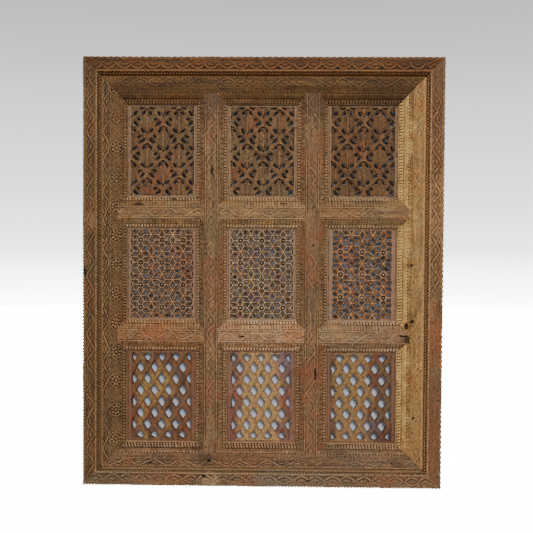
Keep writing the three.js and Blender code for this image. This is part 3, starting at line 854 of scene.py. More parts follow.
class StageSettings(bpy.types.PropertyGroup):
    """Camera and lights."""

    lens: bpy.props.FloatProperty(name="Lens", description="Focal length on a 36 mm frame", default=69.25)
    camera_place: bpy.props.FloatVectorProperty(
        name="Camera", description="Its place", default=(0.0897, -3.07, -0.4945), subtype="TRANSLATION")
    camera_turn: bpy.props.FloatVectorProperty(
        name="Turn", description="Tilt down, roll and pan, in degrees", default=(-1.679, -0.368, 1.469))
    key_power: bpy.props.FloatProperty(
        name="Key light", description="Power of the main light in watts", default=460.0)
    fill_power: bpy.props.FloatProperty(
        name="Fill light", description="Power of the low light in watts", default=24.0)
    back_power: bpy.props.FloatProperty(
        name="Back light", description="Power of the light behind the panel in watts", default=150.0)


def carving():
    return bpy.context.scene.panel_carving


def stage_settings():
    return bpy.context.scene.panel_stage


# Members


def across_place(base, inward):
    """Puts a member that runs along x: a is measured from z = base."""
    return lambda a, h, s: (s, -h, base + inward * a)


def upright_place(base, inward):
    """Puts a member that runs along z: a is measured from x = base."""
    return lambda a, h, s: (base + inward * a, -h, s)


def hand_cut(depth, seed, amount=0.35):
    """The cut with the small unevenness of hand work, and worn softer in places."""

    def cut(a, s):
        drift = speckle(a * 0.4, s, 55, seed) * 1.4
        worn = 0.04 + smooth(0.0, 0.9, speckle(a, s, 75, seed + 5)) * 0.45
        dents = np.clip(speckle(a, s, 7, seed + 9) - 0.35, 0, 1) * 1.3
        return depth(a, s + drift) * (1 - worn) + amount * (1 + speckle(a, s, 16, seed + 2)) * 0.5 + dents

    return cut


def outer_depth(notch_pitch, vine_pitch, bead_pitch, sunk, kept):
    """Nicks, vine and two bead rows. kept(s) is the share of the vine's depth that isn't worn off."""

    def depth(a, s):
        cut = notches(a, s, notch_pitch) + groove(a - 10, 0.6, 1.8)
        eye, lower = (0.42, 0.3) if sunk else (0.5, 0.9)
        strands = kept(s) * vine(a - 11, s, 26, vine_pitch, eye, 2.0, sunk, lower)
        cut = np.where((a > 11) & (a < 37), strands, cut)
        cut = cut + groove(a - 38, 0.7, 2.0)
        return np.where((a > 43.3) & (a < 53.3), twin_beads(a - 43.3, s, 10, bead_pitch), cut)

    return depth


def right_kept(s):
    """The right side is rubbed nearly smooth in its lower half and dark and faint at its top."""
    return 0.8 - 0.45 * smooth(-580, -720, s) - 0.35 * smooth(-150, -60, s)


def inner_depth(band, vine_pitch, bead_pitch, carved_to, rosette_pitch, kept):
    """Vine, flowers as far as carved_to, and beads. kept is the unworn share of vine and of flowers."""
    vine_kept, flowers_kept = kept
    vine_end, slope, width = band["vine"], band["slope"], band["width"]

    def depth(a, s):
        strands = vine_kept * vine(a - 2, s, vine_end - 2, vine_pitch, 0.5)
        cut = np.where((a > 2) & (a < vine_end), strands, 0)
        start = vine_end + 2.5
        flowers = flowers_kept * rosettes(a - start, s, carved_to - start, rosette_pitch)
        cut = np.where((a > start) & (a < carved_to), flowers, cut)
        if carved_to <= band["leaves"]:
            scallops = np.abs(a - carved_to - 0.5) + 0.9 * np.cos(2 * np.pi * s / 9.5)
            cut = np.maximum(cut, 2.2 * (1 - smooth(0.6, 1.8, scallops)))
        strip = width - 1 - (slope + 1)
        cut = np.where((a > slope + 1) & (a < width - 1), beads(a - slope - 1, s, strip, bead_pitch), cut)
        return cut + groove(a - vine_end - 1, 0.6, 1.6) + groove(a - slope, 0.7, 1.8)

    return depth


def bar_depth(flat, sizes, slope_pattern):
    """Vine on the flat, a pattern on both slopes, and beads along both edges."""
    vine_pitch, bead_pitch, slope_pitch = sizes
    inner = flat / 2 - 4
    slope = flat / 2 + BAR_STEP
    foot = slope + BAR_SLOPE + 1
    strip = BAR_WIDTH / 2 - 1.5 - foot

    def depth(a, s):
        away = np.abs(a)
        cut = np.where(away < inner, 0.5 * vine(a + inner, s, 2 * inner, vine_pitch, 0.5), 0)
        cut = np.maximum(cut, 1.6 * (1 - smooth(0.3, 1.1, np.abs(away - inner))))
        sloped = 0.6 * slope_pattern(away - slope, s, BAR_SLOPE - 1, slope_pitch)
        cut = np.where((away > slope) & (away < slope + BAR_SLOPE - 1), sloped, cut)
        cut = np.where(away > foot, beads(away - foot, s, strip, bead_pitch), cut)
        return cut + groove(away - foot + 0.8, 0.6, 1.6) + groove(away - slope - 0.4, 0.6, 1.4)

    return depth


def member_sizes():
    """The settings' vine, bead and tongue pitch, step and fineness, in millimetres."""
    sizes = carving()
    pitches = (sizes.vine_pitch, sizes.bead_pitch, sizes.tongue_pitch)
    return [size / MM for size in (*pitches, sizes.step, sizes.fine)]


class PANEL_OT_outer_frame(bpy.types.Operator):
    """Carves the four sides of the outer frame: nicked arris, vine and rope"""

    bl_idname = "panel.outer_frame"
    bl_label = "Outer frame"

    def execute(self, context):
        vine_pitch, bead_pitch, _, step, fine = member_sizes()
        out, inn = frame_corners(RIGHT, TOP, BOTTOM), frame_corners(FRAME_X, FRAME_TOP, FRAME_BOTTOM)
        section, carved = outer_section()
        across, up = (LEFT - 1, RIGHT + 1), (BOTTOM - 1, TOP + 1)
        # The four numbers of the cut: pitch of the nicks, pitch of the vine, how far one edge's triangles are
        # sunk, and the share of the vine that isn't worn off. Then the grain and the tint of the wood
        sides = (
            ("top_rail", across_place(TOP, -1), across, ("tl", "tr"),
             (18.6, 43.0, 1.2, lambda s: 0.62), ("x", 0.98, 0.94, 0.84)),
            ("bottom_rail", across_place(BOTTOM, 1), across, ("bl", "br"),
             (9.2, 46.5, 0.7, lambda s: 0.65), ("x", 1.4, 1.85, 2.4)),
            ("left_stile", upright_place(LEFT, 1), up, ("bl", "tl"),
             (9.2, vine_pitch, 0.0, lambda s: 0.85), ("z", 1.08, 1.28, 1.34)),
            ("right_stile", upright_place(RIGHT, -1), up, ("br", "tr"),
             (14.8, vine_pitch, 0.0, right_kept), ("z", 1.57, 1.76, 1.9)),
        )
        for number, (name, place, ends, (start, end), cut, (grain, *tint)) in enumerate(sides):
            seed = OUTER_SEED + number
            nick_pitch, strand_pitch, sunk, kept = cut
            depth = hand_cut(outer_depth(nick_pitch, strand_pitch, bead_pitch, sunk, kept), seed)
            piece = swept(f"carved_outer_{name}", section, carved, fine, ends, step, place, depth)
            trim(piece, "INTERSECT", plan_cutter([mitred(out[start], out[end], inn[end], inn[start])]))
            trim(piece, "INTERSECT", plan_cutter([rounded_plan()]))
            wood = aged_wood(f"outer_{name}", tinted("outer", *tint), grain, seed)
            finished(piece, f"outer_{name}", wood, OUTER_LIMIT)
        return {"FINISHED"}


class PANEL_OT_inner_frame(bpy.types.Operator):
    """Carves the four sides of the inner frame, notched where the bars run into them"""

    bl_idname = "panel.inner_frame"
    bl_label = "Inner frame"

    def execute(self, context):
        vine_pitch, bead_pitch, _, step, fine = member_sizes()
        out = frame_corners(FRAME_X, FRAME_TOP, FRAME_BOTTOM)
        inn = {"tl": (OPEN_LEFT, OPEN_TOP), "tr": (OPEN_RIGHT, OPEN_TOP), "br": (OPEN_RIGHT, OPEN_BOTTOM),
               "bl": (OPEN_LEFT, OPEN_BOTTOM)}
        across, up = (-FRAME_X - 1, FRAME_X + 1), (FRAME_BOTTOM - 1, FRAME_TOP + 1)
        uprights = [upright_plan(index, GAP) for index in (0, 1)]
        left_bars, right_bars = ([cross_plan(row, column, GAP) for row in (0, 1)] for column in (0, 2))
        # The numbers of the cut: where the flowers end, their pitch, and the unworn shares of both patterns
        sides = (
            # The top rail's darker tint and shaded tone are partly painted shade, for a rail whose slope
            # faces down
            ("top", "rail", across_place(FRAME_TOP, -1), across, ("tl", "tr"), uprights,
             (48, 24, (0.65, 0.8)), "x", ("shaded", 0.9, 0.8, 0.79)),
            ("bottom", "rail", across_place(FRAME_BOTTOM, 1), across, ("bl", "br"), uprights,
             (41, 27, (0.8, 0.8)), "x", ("inner", 1.37, 1.37, 1.9)),
            ("left", "stile", upright_place(-FRAME_X, 1), up, ("bl", "tl"), left_bars,
             (58, 43, (1.0, 1.0)), "z", ("inner", 1.07, 1.05, 1.27)),
            ("right", "stile", upright_place(FRAME_X, -1), up, ("br", "tr"), right_bars,
             (46, 31, (0.45, 1.0)), "z", ("rubbed", 1.25, 1.36, 1.85)),
        )
        for number, (side, kind, place, ends, (start, end), notched, cut, grain, tone) in enumerate(sides):
            seed = INNER_SEED + number
            section, carved = inner_section(INNER[side])
            depth = hand_cut(inner_depth(INNER[side], vine_pitch, bead_pitch, *cut), seed)
            piece = swept(f"carved_inner_{side}_{kind}", section, carved, fine, ends, step, place, depth)
            trim(piece, "INTERSECT", plan_cutter([mitred(out[start], out[end], inn[end], inn[start])]))
            trim(piece, "DIFFERENCE", plan_cutter(notched))
            sap, slot = (((0.41, 0.014),), "golden_wood") if side == "right" else ((), "inner_wood")
            wood = aged_wood(f"inner_{side}_{kind}", tinted(*tone), grain, seed, sap)
            finished(piece, f"inner_{side}_{kind}", wood, INNER_LIMIT)
        return {"FINISHED"}


class PANEL_OT_upright_bars(bpy.types.Operator):
    """Carves the two upright bars"""

    bl_idname = "panel.upright_bars"
    bl_label = "Upright bars"

    def execute(self, context):
        vine_pitch, bead_pitch, tongue_pitch, step, fine = member_sizes()
        section, carved = bar_section(UPRIGHT_FLAT, UPRIGHT_FRONT)
        ends = (FRAME_BOTTOM + INNER["bottom"]["leaves"] - 1, FRAME_TOP - INNER["top"]["leaves"] + 1)
        sizes = (vine_pitch, bead_pitch, tongue_pitch)
        for index, side in enumerate(("left", "right")):
            seed = UPRIGHT_SEED + index
            depth = hand_cut(bar_depth(UPRIGHT_FLAT, sizes, tongues), seed)
            place = upright_place(UPRIGHT_X[index], 1)
            piece = swept(f"carved_upright_{side}", section, carved, fine, ends, step, place, depth)
            crossing = [cross_plan(row, column, GAP) for row in (0, 1) for column in (index, index + 1)]
            trim(piece, "INTERSECT", plan_cutter([upright_plan(index)]))
            trim(piece, "DIFFERENCE", plan_cutter(crossing))
            wood = aged_wood(f"upright_bar_{side}", tinted("upright", 1.18, 1.28, 1.7), "z", seed)
            finished(piece, f"upright_bar_{side}", wood, UPRIGHT_LIMIT)
        return {"FINISHED"}


# Each cross bar's tint, from left to right
CROSS_TINT = {"upper": ((0.87, 0.96, 1.65), (0.98, 1.1, 1.9), (0.87, 1.02, 1.75)),
              "lower": ((1.0, 0.96, 1.56), (1.31, 1.43, 2.7), (1.05, 1.2, 2.3))}


class PANEL_OT_cross_bars(bpy.types.Operator):
    """Carves the six cross bars"""

    bl_idname = "panel.cross_bars"
    bl_label = "Cross bars"

    def execute(self, context):
        vine_pitch, bead_pitch, _, step, fine = member_sizes()
        section, carved = bar_section(CROSS_FLAT, CROSS_FRONT)
        sizes = (vine_pitch, bead_pitch, bead_pitch)
        for row, level in enumerate(("upper", "lower")):
            for column, side in enumerate(PLACES):
                seed = CROSS_SEED + 3 * row + column
                low, high = cross_ends(column)
                ends, place = (low - 1, high + 1), across_place(CROSS_Z[row], -1)
                depth = hand_cut(bar_depth(CROSS_FLAT, sizes, dashes), seed)
                name = f"carved_cross_{level}_{side}"
                piece = swept(name, section, carved, fine, ends, step, place, depth)
                trim(piece, "INTERSECT", plan_cutter([cross_plan(row, column)]))
                tone = tinted("golden", *CROSS_TINT[level][column])
                wood = aged_wood(f"cross_bar_{level}_{side}", tone, "x", seed)
                finished(piece, f"cross_bar_{level}_{side}", wood, CROSS_LIMIT)
        return {"FINISHED"}


# Boards


def ring(x, z, long, short, turn, soft=0.0, count=16):
    """A rhombus with rounded corners, as points round its centre. soft is 0 for sharp and 1 for an oval."""
    angles = np.arange(count) * 2 * np.pi / count
    reach = 1 / (np.abs(np.cos(angles)) + np.abs(np.sin(angles)))
    reach = reach * (1 - soft) + soft
    u, w = long * reach * np.cos(angles), short * reach * np.sin(angles)
    return np.stack([x + u * np.cos(turn) - w * np.sin(turn), z + u * np.sin(turn) + w * np.cos(turn)], 1)


def hole_cutter(holes, rim, rim_deep):
    """One cutter for all the holes of a board: each a straight hole whose mouth widens by rim."""
    levels = ((3 - BOARD_BACK, 0), (rim_deep - BOARD_FRONT, 0), (-BOARD_FRONT, rim), (-BOARD_FRONT - 4, rim))
    stacks = []
    for hole in holes:
        centre = hole.mean(0)
        size = np.linalg.norm(hole - centre, axis=1).mean()
        rings = []
        for y, grow in levels:
            wide = centre + (hole - centre) * (1 + grow / size)
            rings.append([(x, y, z) for x, z in wide])
        stacks.append(rings)
    return stacked("cutter", stacks)


# Half the width and half the height of a board's carved and pierced field
FIELD = (93.0, 130.5)


def kept_holes(holes):
    """Holes cut off straight where they would run out of the field, and left out where little remains."""
    kept = []
    for hole in holes:
        over = [np.abs(hole[:, k]) > FIELD[k] for k in (0, 1)]
        if (over[0] | over[1]).mean() > 0.55 or (over[0].any() and over[1].any()):
            continue
        order = 0.002 * np.arange(len(hole))
        for k in (0, 1):
            hole[:, k] = np.where(over[k], np.sign(hole[:, k]) * (FIELD[k] - order), hole[:, k])
        kept.append(hole)
    return kept


# The leaf net: half the width and height of a cell, and the place of its first cell
LEAF = {"half_width": 47.6, "half_height": 50.9, "first": 80.6, "shift": 2.4}


def leaf_cells():
    """The middle of each leaf, level with the slots at its sides."""
    for step in range(-1, 6):
        z = LEAF["first"] - step * LEAF["half_height"]
        for place in (-1, 1) if step % 2 == 0 else (-2, 0, 2):
            yield place * LEAF["half_width"] + LEAF["shift"], z


def leaf_relief(a, s):
    """Fan leaves of curved lobes, one in each cell of a net of grooved straps."""
    half_width, half_height = LEAF["half_width"], LEAF["half_height"]
    depth = np.full(np.broadcast(a, s).shape, 3.4)
    for number, (x, z) in enumerate(leaf_cells()):
        u, w = a - x, s - z
        near = (np.abs(u) < half_width + 7) & (np.abs(w) < 66)
        u, w = u[near], w[near]
        arch = (np.abs(u) / half_width) ** 1.28 + (np.clip(w - 2.5, 0, None) / half_height) ** 1.28
        away = np.where(w > 1.5, np.abs(arch ** (1 / 1.28) - 1) * 34, 99)
        strap = 2.9 * smooth(4.2, 6.4, away) + groove(away - 1.9, 0.8, 0.8)
        out = np.abs(u)
        barb = (w - 0.95 * out + 0.009 * out**2 + 1.5 * np.sin(number * 2.3)) / 8.2
        barb = np.abs(barb - np.floor(barb + 0.5)) * 2
        edge = np.hypot(u / 38, (w - 2) / (40 - 8 * smooth(0, -30, w)))
        midrib = 0.8 * (1 - smooth(1.0, 2.6, out)) * smooth(38, 20, w)
        leaf = 0.9 + 1.1 * smooth(20, 3, out) + 0.65 * smooth(0.2, 0.95, barb) - midrib
        leaf = leaf * (1 - smooth(0.9, 1.02, edge)) + 3.2 * smooth(0.9, 1.02, edge)
        depth[near] = np.minimum(depth[near], np.minimum(strap, leaf))
    return depth


def leaf_holes():
    """Eight slots round each leaf, four and their mirror images, and a row of four along the top."""
    # Across, up, half length, half width, turn and softness
    slots = ((9.8, 31, 8.4, 4.4, 2.25, 0.8), (25, 13, 6.6, 4.3, 0.5, 0.9),
             (33, 0, 10.6, 5.0, 0.75, 0.75), (12.2, -21, 9, 4.7, 0.95, 0.8))
    holes = []
    for number, (x, z) in enumerate(leaf_cells()):
        for side in (-1, 1):
            for index, (across, up, long, short, turn, soft) in enumerate(slots):
                turned = (math.pi - turn if side < 0 else turn) + 0.12 * math.sin(number * 3 + index + side)
                grow = 1 + 0.08 * math.sin(number * 7 + index * 2 + side)
                holes.append(ring(x + side * across, z + up, long * grow, short * grow, turned, soft, 12))
    holes = kept_holes(holes)
    for x in (-1, 1):
        for side in (-1, 1):
            across = x * LEAF["half_width"] + LEAF["shift"] + side * 14
            holes.append(ring(across, FIELD[1] - 4.5, 8, 3.2, -0.25 * side, 0.7, 12))
    return holes


# The star lattice: its pitches, and half the length and width of its holes, smaller ones beside the studs
STAR = {"column": 31.7, "step": 33.4, "long": 7.3, "short": 5.3, "stud_long": 5.5, "stud_short": 4.1}


def star_knots(stud_phase):
    """The middle of each star, and whether it has a stud."""
    knots = []
    for column in range(-3, 4):
        lift = STAR["step"] / 2 if column % 2 else 0
        for step in range(-5, 6):
            studded = column % 2 == 0 and abs(step) % 2 == stud_phase
            knots.append((column * STAR["column"], step * STAR["step"] + lift, studded))
    return knots


def star_edges(knots):
    """Every pair of neighbouring knots, as their middle, its turn, and whether a stud is at either end."""
    reach = math.hypot(STAR["column"], STAR["step"] / 2) + 1
    found = []
    for first, a in enumerate(knots):
        for b in knots[first + 1 :]:
            run, rise = b[0] - a[0], b[1] - a[1]
            if math.hypot(run, rise) <= reach:
                found.append(((a[0] + b[0]) / 2, (a[1] + b[1]) / 2, math.atan2(rise, run), a[2] or b[2]))
    return found


def star_holes(knots, thin):
    """Holes between the rays. The thin board has larger ones, and only whole ones, so it ends in a zigzag."""
    open_up = 1.27 if thin else 1.0
    holes = []
    for x, z, turn, studded in star_edges(knots):
        long, short = (STAR["stud_long"], STAR["stud_short"]) if studded else (STAR["long"], STAR["short"])
        holes.append(ring(x, z, long * open_up, short * open_up, turn, 0.25, 12))
    if not thin:
        return kept_holes(holes)
    return [hole for hole in holes if np.abs(hole[:, 0]).max() < 91 and np.abs(hole[:, 1]).max() < 130]


def star_relief(knots, across):
    """Six raised rays from each knot, and a ringed boss round each stud, within across of the middle."""
    reach = STAR["column"] / 3 * 2
    rays = [(reach * math.cos(k * math.pi / 3), reach * math.sin(k * math.pi / 3)) for k in range(6)]

    def depth(a, s):
        inside = smooth(0, 2, np.minimum(across + 1 - np.abs(a), FIELD[1] + 1 - np.abs(s)))
        away = np.full(np.broadcast(a, s).shape, 99.0)
        for x, z, _ in knots:
            u, w = a - x, s - z
            near = np.hypot(u, w) < 30
            un, wn = u[near], w[near]
            best = away[near]
            for ru, rw in rays:
                share = np.clip((un * ru + wn * rw) / (ru * ru + rw * rw), 0, 1)
                best = np.minimum(best, np.hypot(un - ru * share, wn - rw * share))
            away[near] = best
        cut = 1.9 * smooth(0.6, 2.6, away)
        for x, z, studded in knots:
            if studded and abs(x) < 80 and abs(z) < 118:
                r = np.hypot(a - x, s - z)
                boss = 3.8 * smooth(3.4, 4.2, r) * (1 - smooth(6.6, 7.6, r)) + 2.2 * smooth(9, 10.5, r)
                cut = np.where(r < 10, boss, cut)
        return cut * inside

    return depth


# Pale strips of sapwood, as (middle x, half width) in metres
DIAMOND_SAP = {"left": [(-0.352, 0.004)], "middle": [(-0.004, 0.055)], "right": [(0.268, 0.055)]}

# The diamonds: pitches, rows, half width and height, the height left of those cut off, and the holes' limit
DIAMOND = {"pitch": 42.1, "row": 34.2, "rows": 8, "half_width": 12.0, "half_height": 17.6,
           "cut": 8.8, "edge": 88.0}


def diamond_spots(phase):
    """Each hole as its centre, its reach left and right, and its reach down and up."""
    spots = []
    for row in range(DIAMOND["rows"]):
        z = ((DIAMOND["rows"] - 1) / 2 - row) * DIAMOND["row"]
        count = 5 if row % 2 == phase else 4
        foot = DIAMOND["cut"] if row == DIAMOND["rows"] - 1 else DIAMOND["half_height"]
        head = DIAMOND["cut"] if row == 0 else DIAMOND["half_height"]
        for index in range(count):
            x = (index - (count - 1) / 2) * DIAMOND["pitch"]
            left = max(x - DIAMOND["half_width"], -DIAMOND["edge"]) - x
            right = min(x + DIAMOND["half_width"], DIAMOND["edge"]) - x
            spots.append((x, z, left, right, foot, head))
    return spots


def diamond_holes(phase):
    """The diamond-shaped holes. The rows with five of them alternate with rows of four."""
    holes = []
    for x, z, left, right, foot, head in diamond_spots(phase):
        around = ring(0, 0, 1, 1, 0, 0.18)
        across = np.where(around[:, 0] > 0, around[:, 0] * right, -around[:, 0] * left)
        up = np.where(around[:, 1] > 0, around[:, 1] * head, around[:, 1] * foot)
        holes.append(np.stack([x + across, z + up], 1))
    return holes


def diamond_relief(phase):
    """A net of paired grooves between the diamonds."""
    pitch, row = DIAMOND["pitch"], DIAMOND["row"]

    def depth(a, s):
        inside = smooth(0, 3, np.minimum(92 - np.abs(a), 129 - np.abs(s)))
        u = a / pitch + 0.5 * phase
        w = (s + 3.5 * row) / (2 * row)
        one, other = (u + w + 0.25) % 1.0, (u - w + 0.25) % 1.0
        lines = np.minimum(np.abs(one - 0.5), np.abs(other - 0.5)) * pitch * 0.85
        cut = 1.1 * (1 - smooth(0.2, 1.2, np.abs(lines - 2.2)))
        return cut * inside

    return depth


def board_margin(depth):
    """The field's carving, with a rounded fillet round it and a flat margin outside."""

    def cut(a, s):
        beside, ends = OPENING[0] / 2 - np.abs(a), OPENING[1] / 2 - np.abs(s)
        fillet = groove(np.minimum(beside, ends) - 3.6, 0.9, 1.0)
        return np.where((np.abs(a) < FIELD[0] + 1) & (np.abs(s) < FIELD[1] + 1), depth(a, s), fillet)

    return cut


# Each board's tint, from left to right. Most darken the wood, partly as painted shade for boards that lie
# deep behind the frame
BOARD_TINT = {
    "leaf": ((0.8, 0.93, 1.19), (0.8, 0.95, 1.23), (0.71, 0.79, 0.95)),
    "star": ((0.72, 0.82, 1.15), (0.79, 1.03, 1.55), (0.95, 1.05, 1.38)),
    "diamond": ((0.68, 0.84, 1.3), (0.88, 1.12, 2.2), (0.62, 0.77, 1.4)),
}


def make_board(kind, index, relief, holes, rim, seed, sap=(), across=FIELD[0]):
    """Carves and pierces one board. rim is how far the holes' mouths widen and how deep that starts."""
    _, _, _, step, fine = member_sizes()
    place = PLACES[index]
    x, z = board_centre(kind, place)
    section, carved = board_section()
    half = OPENING[1] / 2 + TONGUE
    depth = hand_cut(board_margin(relief), seed, 0.3)
    piece = swept(f"carved_{kind}_board_{place}", section, carved, fine * 1.35, (-half, half), step,
                  lambda a, h, s: (x + a, -h, z + s), depth)
    trim(piece, "DIFFERENCE", hole_cutter([hole + np.array((x, z)) for hole in holes], *rim))
    field = (x * MM, z * MM), (across * MM, FIELD[1] * MM)
    tone = tinted(kind, *BOARD_TINT[kind][index])
    wood = aged_wood(f"{kind}_board_{place}", tone, "z", seed, sap, field)
    finished(piece, f"{kind}_board_{place}", wood, BOARD_LIMIT, 0.0)


class PANEL_OT_leaf_boards(bpy.types.Operator):
    """Carves the three boards of palmette leaves"""

    bl_idname = "panel.leaf_boards"
    bl_label = "Leaf boards"

    def execute(self, context):
        for index in range(3):
            make_board("leaf", index, leaf_relief, leaf_holes(), (0.8, 2.0), LEAF_SEED + index)
        return {"FINISHED"}


class PANEL_OT_star_boards(bpy.types.Operator):
    """Carves the three star lattice boards"""

    bl_idname = "panel.star_boards"
    bl_label = "Star boards"

    def execute(self, context):
        for index, place in enumerate(PLACES):
            thin = place == "right"
            knots = star_knots(0 if thin else 1)
            rim, across = ((1.6, 4.0), 86) if thin else ((1.0, 2.0), FIELD[0])
            relief, holes = star_relief(knots, across), star_holes(knots, thin)
            make_board("star", index, relief, holes, rim, STAR_SEED + index, across=across)
        return {"FINISHED"}


class PANEL_OT_diamond_boards(bpy.types.Operator):
    """Carves the three boards of staggered diamonds"""

    bl_idname = "panel.diamond_boards"
    bl_label = "Diamond boards"

    def execute(self, context):
        for index, place in enumerate(PLACES):
            phase = 1 if place == "right" else 0
            relief, holes = diamond_relief(phase), diamond_holes(phase)
            make_board("diamond", index, relief, holes, (2.2, 2.8), DIAMOND_SEED + index, DIAMOND_SAP[place])
        return {"FINISHED"}


class PANEL_OT_studs(bpy.types.Operator):
    """Makes the small domed studs of the star boards"""

    bl_idname = "panel.studs"
    bl_label = "Studs"

    def execute(self, context):
        brass = old_brass()
        for name in sorted(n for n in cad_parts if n.startswith("stud_")):
            low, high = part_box(name)
            middle = (low + high) / 2
            radius = (high.x - low.x) / 2
            deselect()
            bpy.ops.mesh.primitive_uv_sphere_add(segments=16, ring_count=8, radius=1, location=(0, 0, 0))
            piece = bpy.context.object
            piece.name = piece.data.name = f"domed_{name}"
            points = np.empty(len(piece.data.vertices) * 3, np.float32)
            piece.data.vertices.foreach_get("co", points)
            points = points.reshape(-1, 3)
            rise = high.y - low.y
            dome = np.stack([middle.x + points[:, 0] * radius, high.y - np.clip(points[:, 2], 0, 1) * rise,
                             middle.z + points[:, 1] * radius], 1)
            piece.data.vertices.foreach_set("co", dome.astype(np.float32).ravel())
            # How far out from the middle each point lies, for the painted shade at the rim
            mark_points(piece, "rim", np.hypot(points[:, 0], points[:, 1]))
            choose(piece)
            bpy.ops.object.mode_set(mode="EDIT")
            bpy.ops.mesh.select_all(action="SELECT")
            bpy.ops.mesh.normals_make_consistent(inside=False)
            bpy.ops.object.mode_set(mode="OBJECT")
            bpy.ops.object.shade_smooth_by_angle(angle=math.radians(50))
            piece.data.materials.append(brass)
            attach(piece, "root")
            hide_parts(name)
        return {"FINISHED"}


# Stage


FLOOR_Z = -1.5
ROOM_SIZE = 12
# How bright the room's wall is, from the floor up
WALL_STEPS = ((0.0, 1.0), (0.05, 0.7), (0.175, 0.26), (0.34, 0.155), (0.5, 0.112), (0.78, 0.055),
              (0.96, 0.0375), (1.0, 0.033))


def stage_paint(name, colour, glow, one_sided):
    """Matt paint with a glow of its own, which is a number or a function that makes its socket.

    One-sided paint is clear from behind.
    """
    made, tree = bare_material(name)
    strength = glow(tree) if callable(glow) else glow
    paint = node(tree, "ShaderNodeBsdfDiffuse", {"Color": colour})
    light = node(tree, "ShaderNodeEmission", {"Color": colour, "Strength": strength})
    shown = node(tree, "ShaderNodeAddShader", {0: paint.outputs[0], 1: light.outputs[0]}).outputs[0]
    if one_sided:
        clear = node(tree, "ShaderNodeBsdfTransparent").outputs[0]
        behind = node(tree, "ShaderNodeNewGeometry").outputs["Backfacing"]
        shown = node(tree, "ShaderNodeMixShader", {0: behind, 1: shown, 2: clear}).outputs[0]
    shown_by(tree, shown)
    return made


def plain_sheet(name, corners, colour, glow):
    """A flat piece of the stage that is only seen from the side that its corners run round."""
    mesh = bpy.data.meshes.new(name)
    mesh.from_pydata(corners, [], [range(len(corners))])
    sheet = bpy.data.objects.new(name, mesh)
    bpy.context.collection.objects.link(sheet)
    mesh.materials.append(stage_paint(name, colour, glow, True))
    return sheet


def wall_glow(tree):
    """Brighter towards the floor, as a studio wall lit from below."""
    up = along_axis(tree, object_place(tree), 2)
    share = node(tree, "ShaderNodeMapRange", {0: up, 1: FLOOR_Z, 2: 3.1}).outputs[0]
    ramp = node(tree, "ShaderNodeValToRGB", {0: share})
    stops = ramp.color_ramp.elements
    for place, level in WALL_STEPS[1:-1]:
        stops.new(place)
    for stop, (place, level) in zip(stops, WALL_STEPS):
        stop.position, stop.color = place, (level, level, level, 1)
    return maths(tree, "MULTIPLY", ramp.outputs[0], 12.0)


def sheet_glow(tree):
    """A little spotted light of its own behind the middle row of boards, whose small holes let little in."""
    place = object_place(tree)
    up = along_axis(tree, place, 2)
    spots = ramped(tree, noise(tree, place, 55, 2), 0.44, 0.6, 0.15, 2.0)
    level = maths(tree, "MULTIPLY", ramped(tree, up, -0.84, -0.76, 0.01, 0.12), spots)
    return maths(tree, "MULTIPLY", ramped(tree, up, -0.38, -0.46), level)


def area_light(name, place, power, size, colour=(1, 1, 1)):
    """A square light that looks at the middle of the panel and isn't seen by the camera."""
    data = bpy.data.lights.new(name, "AREA")
    data.energy, data.size, data.color = power, size, colour
    lamp = bpy.data.objects.new(name, data)
    bpy.context.collection.objects.link(lamp)
    lamp.location = place
    lamp.visible_camera = False
    lamp.rotation_euler = (Vector((0, 0, -0.6)) - Vector(place)).to_track_quat("-Z", "Y").to_euler()


def set_camera(sizes):
    """Puts the camera where the settings say, turned by pan, then tilt, then roll."""
    data = bpy.data.cameras.new("camera")
    data.lens, data.sensor_width = sizes.lens, 36
    camera = bpy.data.objects.new("camera", data)
    bpy.context.collection.objects.link(camera)
    tilt, roll, pan = (math.radians(angle) for angle in sizes.camera_turn)
    look = Matrix.Rotation(pan, 3, "Z") @ Matrix.Rotation(tilt, 3, "X") @ Matrix.Rotation(roll, 3, "Y")
    right, forward, up = look.col
    turn = Matrix((right, up, -forward)).transposed()
    camera.matrix_world = Matrix.Translation(Vector(sizes.camera_place)) @ turn.to_4x4()
    bpy.context.scene.camera = camera


def pale_room():
    """An even sky, and a round floor and wall that are only seen and light nothing."""
    world = bpy.data.worlds.new("soft_room")
    bpy.context.scene.world = world
    world.use_nodes = True
    sky = world.node_tree.nodes["Background"]
    sky.inputs[0].default_value = (0.97, 0.97, 1.0, 1)
    sky.inputs[1].default_value = 0.25
    turns = [math.radians(5 * step) for step in range(72)]
    rim = [(ROOM_SIZE * math.cos(turn), ROOM_SIZE * math.sin(turn), FLOOR_Z) for turn in turns]
    floor = plain_sheet("floor", rim, (0.97, 0.97, 0.96), 18.0)
    middle = (0, 0, FLOOR_Z + ROOM_SIZE / 2)
    bpy.ops.mesh.primitive_cylinder_add(
        vertices=72, radius=ROOM_SIZE, depth=ROOM_SIZE, end_fill_type="NOTHING", location=middle)
    wall = bpy.context.object
    wall.name = wall.data.name = "studio_wall"
    bpy.ops.object.transform_apply(location=True)
    bpy.ops.object.shade_smooth()
    wall.data.materials.append(stage_paint("studio_wall", (0.97, 0.98, 1.0), wall_glow, False))
    for shell in (floor, wall):
        shell.visible_diffuse = shell.visible_glossy = shell.visible_shadow = False


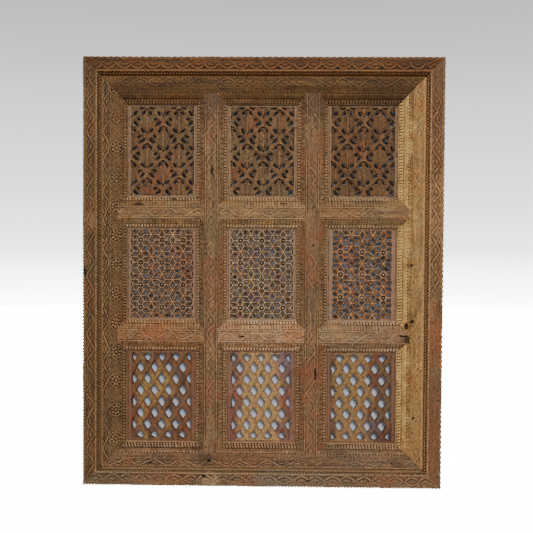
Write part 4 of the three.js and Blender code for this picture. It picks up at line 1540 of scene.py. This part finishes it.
def backing_sheets():
    """A bluish sheet behind each row of boards, darker towards the top as painted shade behind the upper
    rows. None of them shades the panel from the light behind it.
    """
    upper, lower = (z * MM for z in CROSS_Z)
    sheets = (("leaf_sheet", upper, -0.065, (0.24, 0.27, 0.32)),
              ("star_sheet", lower, upper, (0.32, 0.36, 0.43)),
              ("diamond_sheet", -1.145, lower, (0.52, 0.58, 0.69)))
    for name, foot, head, colour in sheets:
        corners = [(x, 0.001, z) for x, z in ((-0.44, foot), (0.44, foot), (0.44, head), (-0.44, head))]
        plain_sheet(name, corners, colour, sheet_glow).visible_shadow = False


class PANEL_OT_stage(bpy.types.Operator):
    """Sets the camera, the soft lights, the pale floor and the sheets behind the panel"""

    bl_idname = "panel.stage"
    bl_label = "Stage"

    def execute(self, context):
        sizes = stage_settings()
        set_camera(sizes)
        pale_room()
        backing_sheets()
        area_light("key", (1.0, -6.8, 2.1), sizes.key_power, 1.5, (1, 0.97, 0.92))
        area_light("low", (-0.9, -4.2, -1.2), sizes.fill_power, 2.0)
        area_light("back", (-0.8, 5.5, 0.4), sizes.back_power, 2.0)
        return {"FINISHED"}


class PANEL_PT_sidebar(bpy.types.Panel):
    """Lists the pieces of the wall panel"""

    bl_idname = "PANEL_PT_sidebar"
    bl_label = "Carved wall panel"
    bl_space_type = "VIEW_3D"
    bl_region_type = "UI"
    bl_category = "Wall panel"

    def draw(self, context):
        for operator in OPERATORS:
            self.layout.operator(operator.bl_idname)
        for group in (context.scene.panel_carving, context.scene.panel_stage):
            for name in group.bl_rna.properties.keys():
                if name not in ("rna_type", "name"):
                    self.layout.prop(group, name)


GROUPS = (FrameCarving, StageSettings)
OPERATORS = (PANEL_OT_stage, PANEL_OT_outer_frame, PANEL_OT_inner_frame, PANEL_OT_upright_bars,
             PANEL_OT_cross_bars, PANEL_OT_leaf_boards, PANEL_OT_star_boards, PANEL_OT_diamond_boards,
             PANEL_OT_studs)


def register():
    for made in (*GROUPS, *OPERATORS, PANEL_PT_sidebar):
        bpy.utils.register_class(made)
    bpy.types.Scene.panel_carving = bpy.props.PointerProperty(type=FrameCarving)
    bpy.types.Scene.panel_stage = bpy.props.PointerProperty(type=StageSettings)


def unregister():
    del bpy.types.Scene.panel_stage
    del bpy.types.Scene.panel_carving
    for made in reversed((*GROUPS, *OPERATORS, PANEL_PT_sidebar)):
        bpy.utils.unregister_class(made)


def main():
    register()
    for operator in OPERATORS:
        family, name = operator.bl_idname.split(".")
        getattr(getattr(bpy.ops, family), name)()


if __name__ == "__main__":
    main()
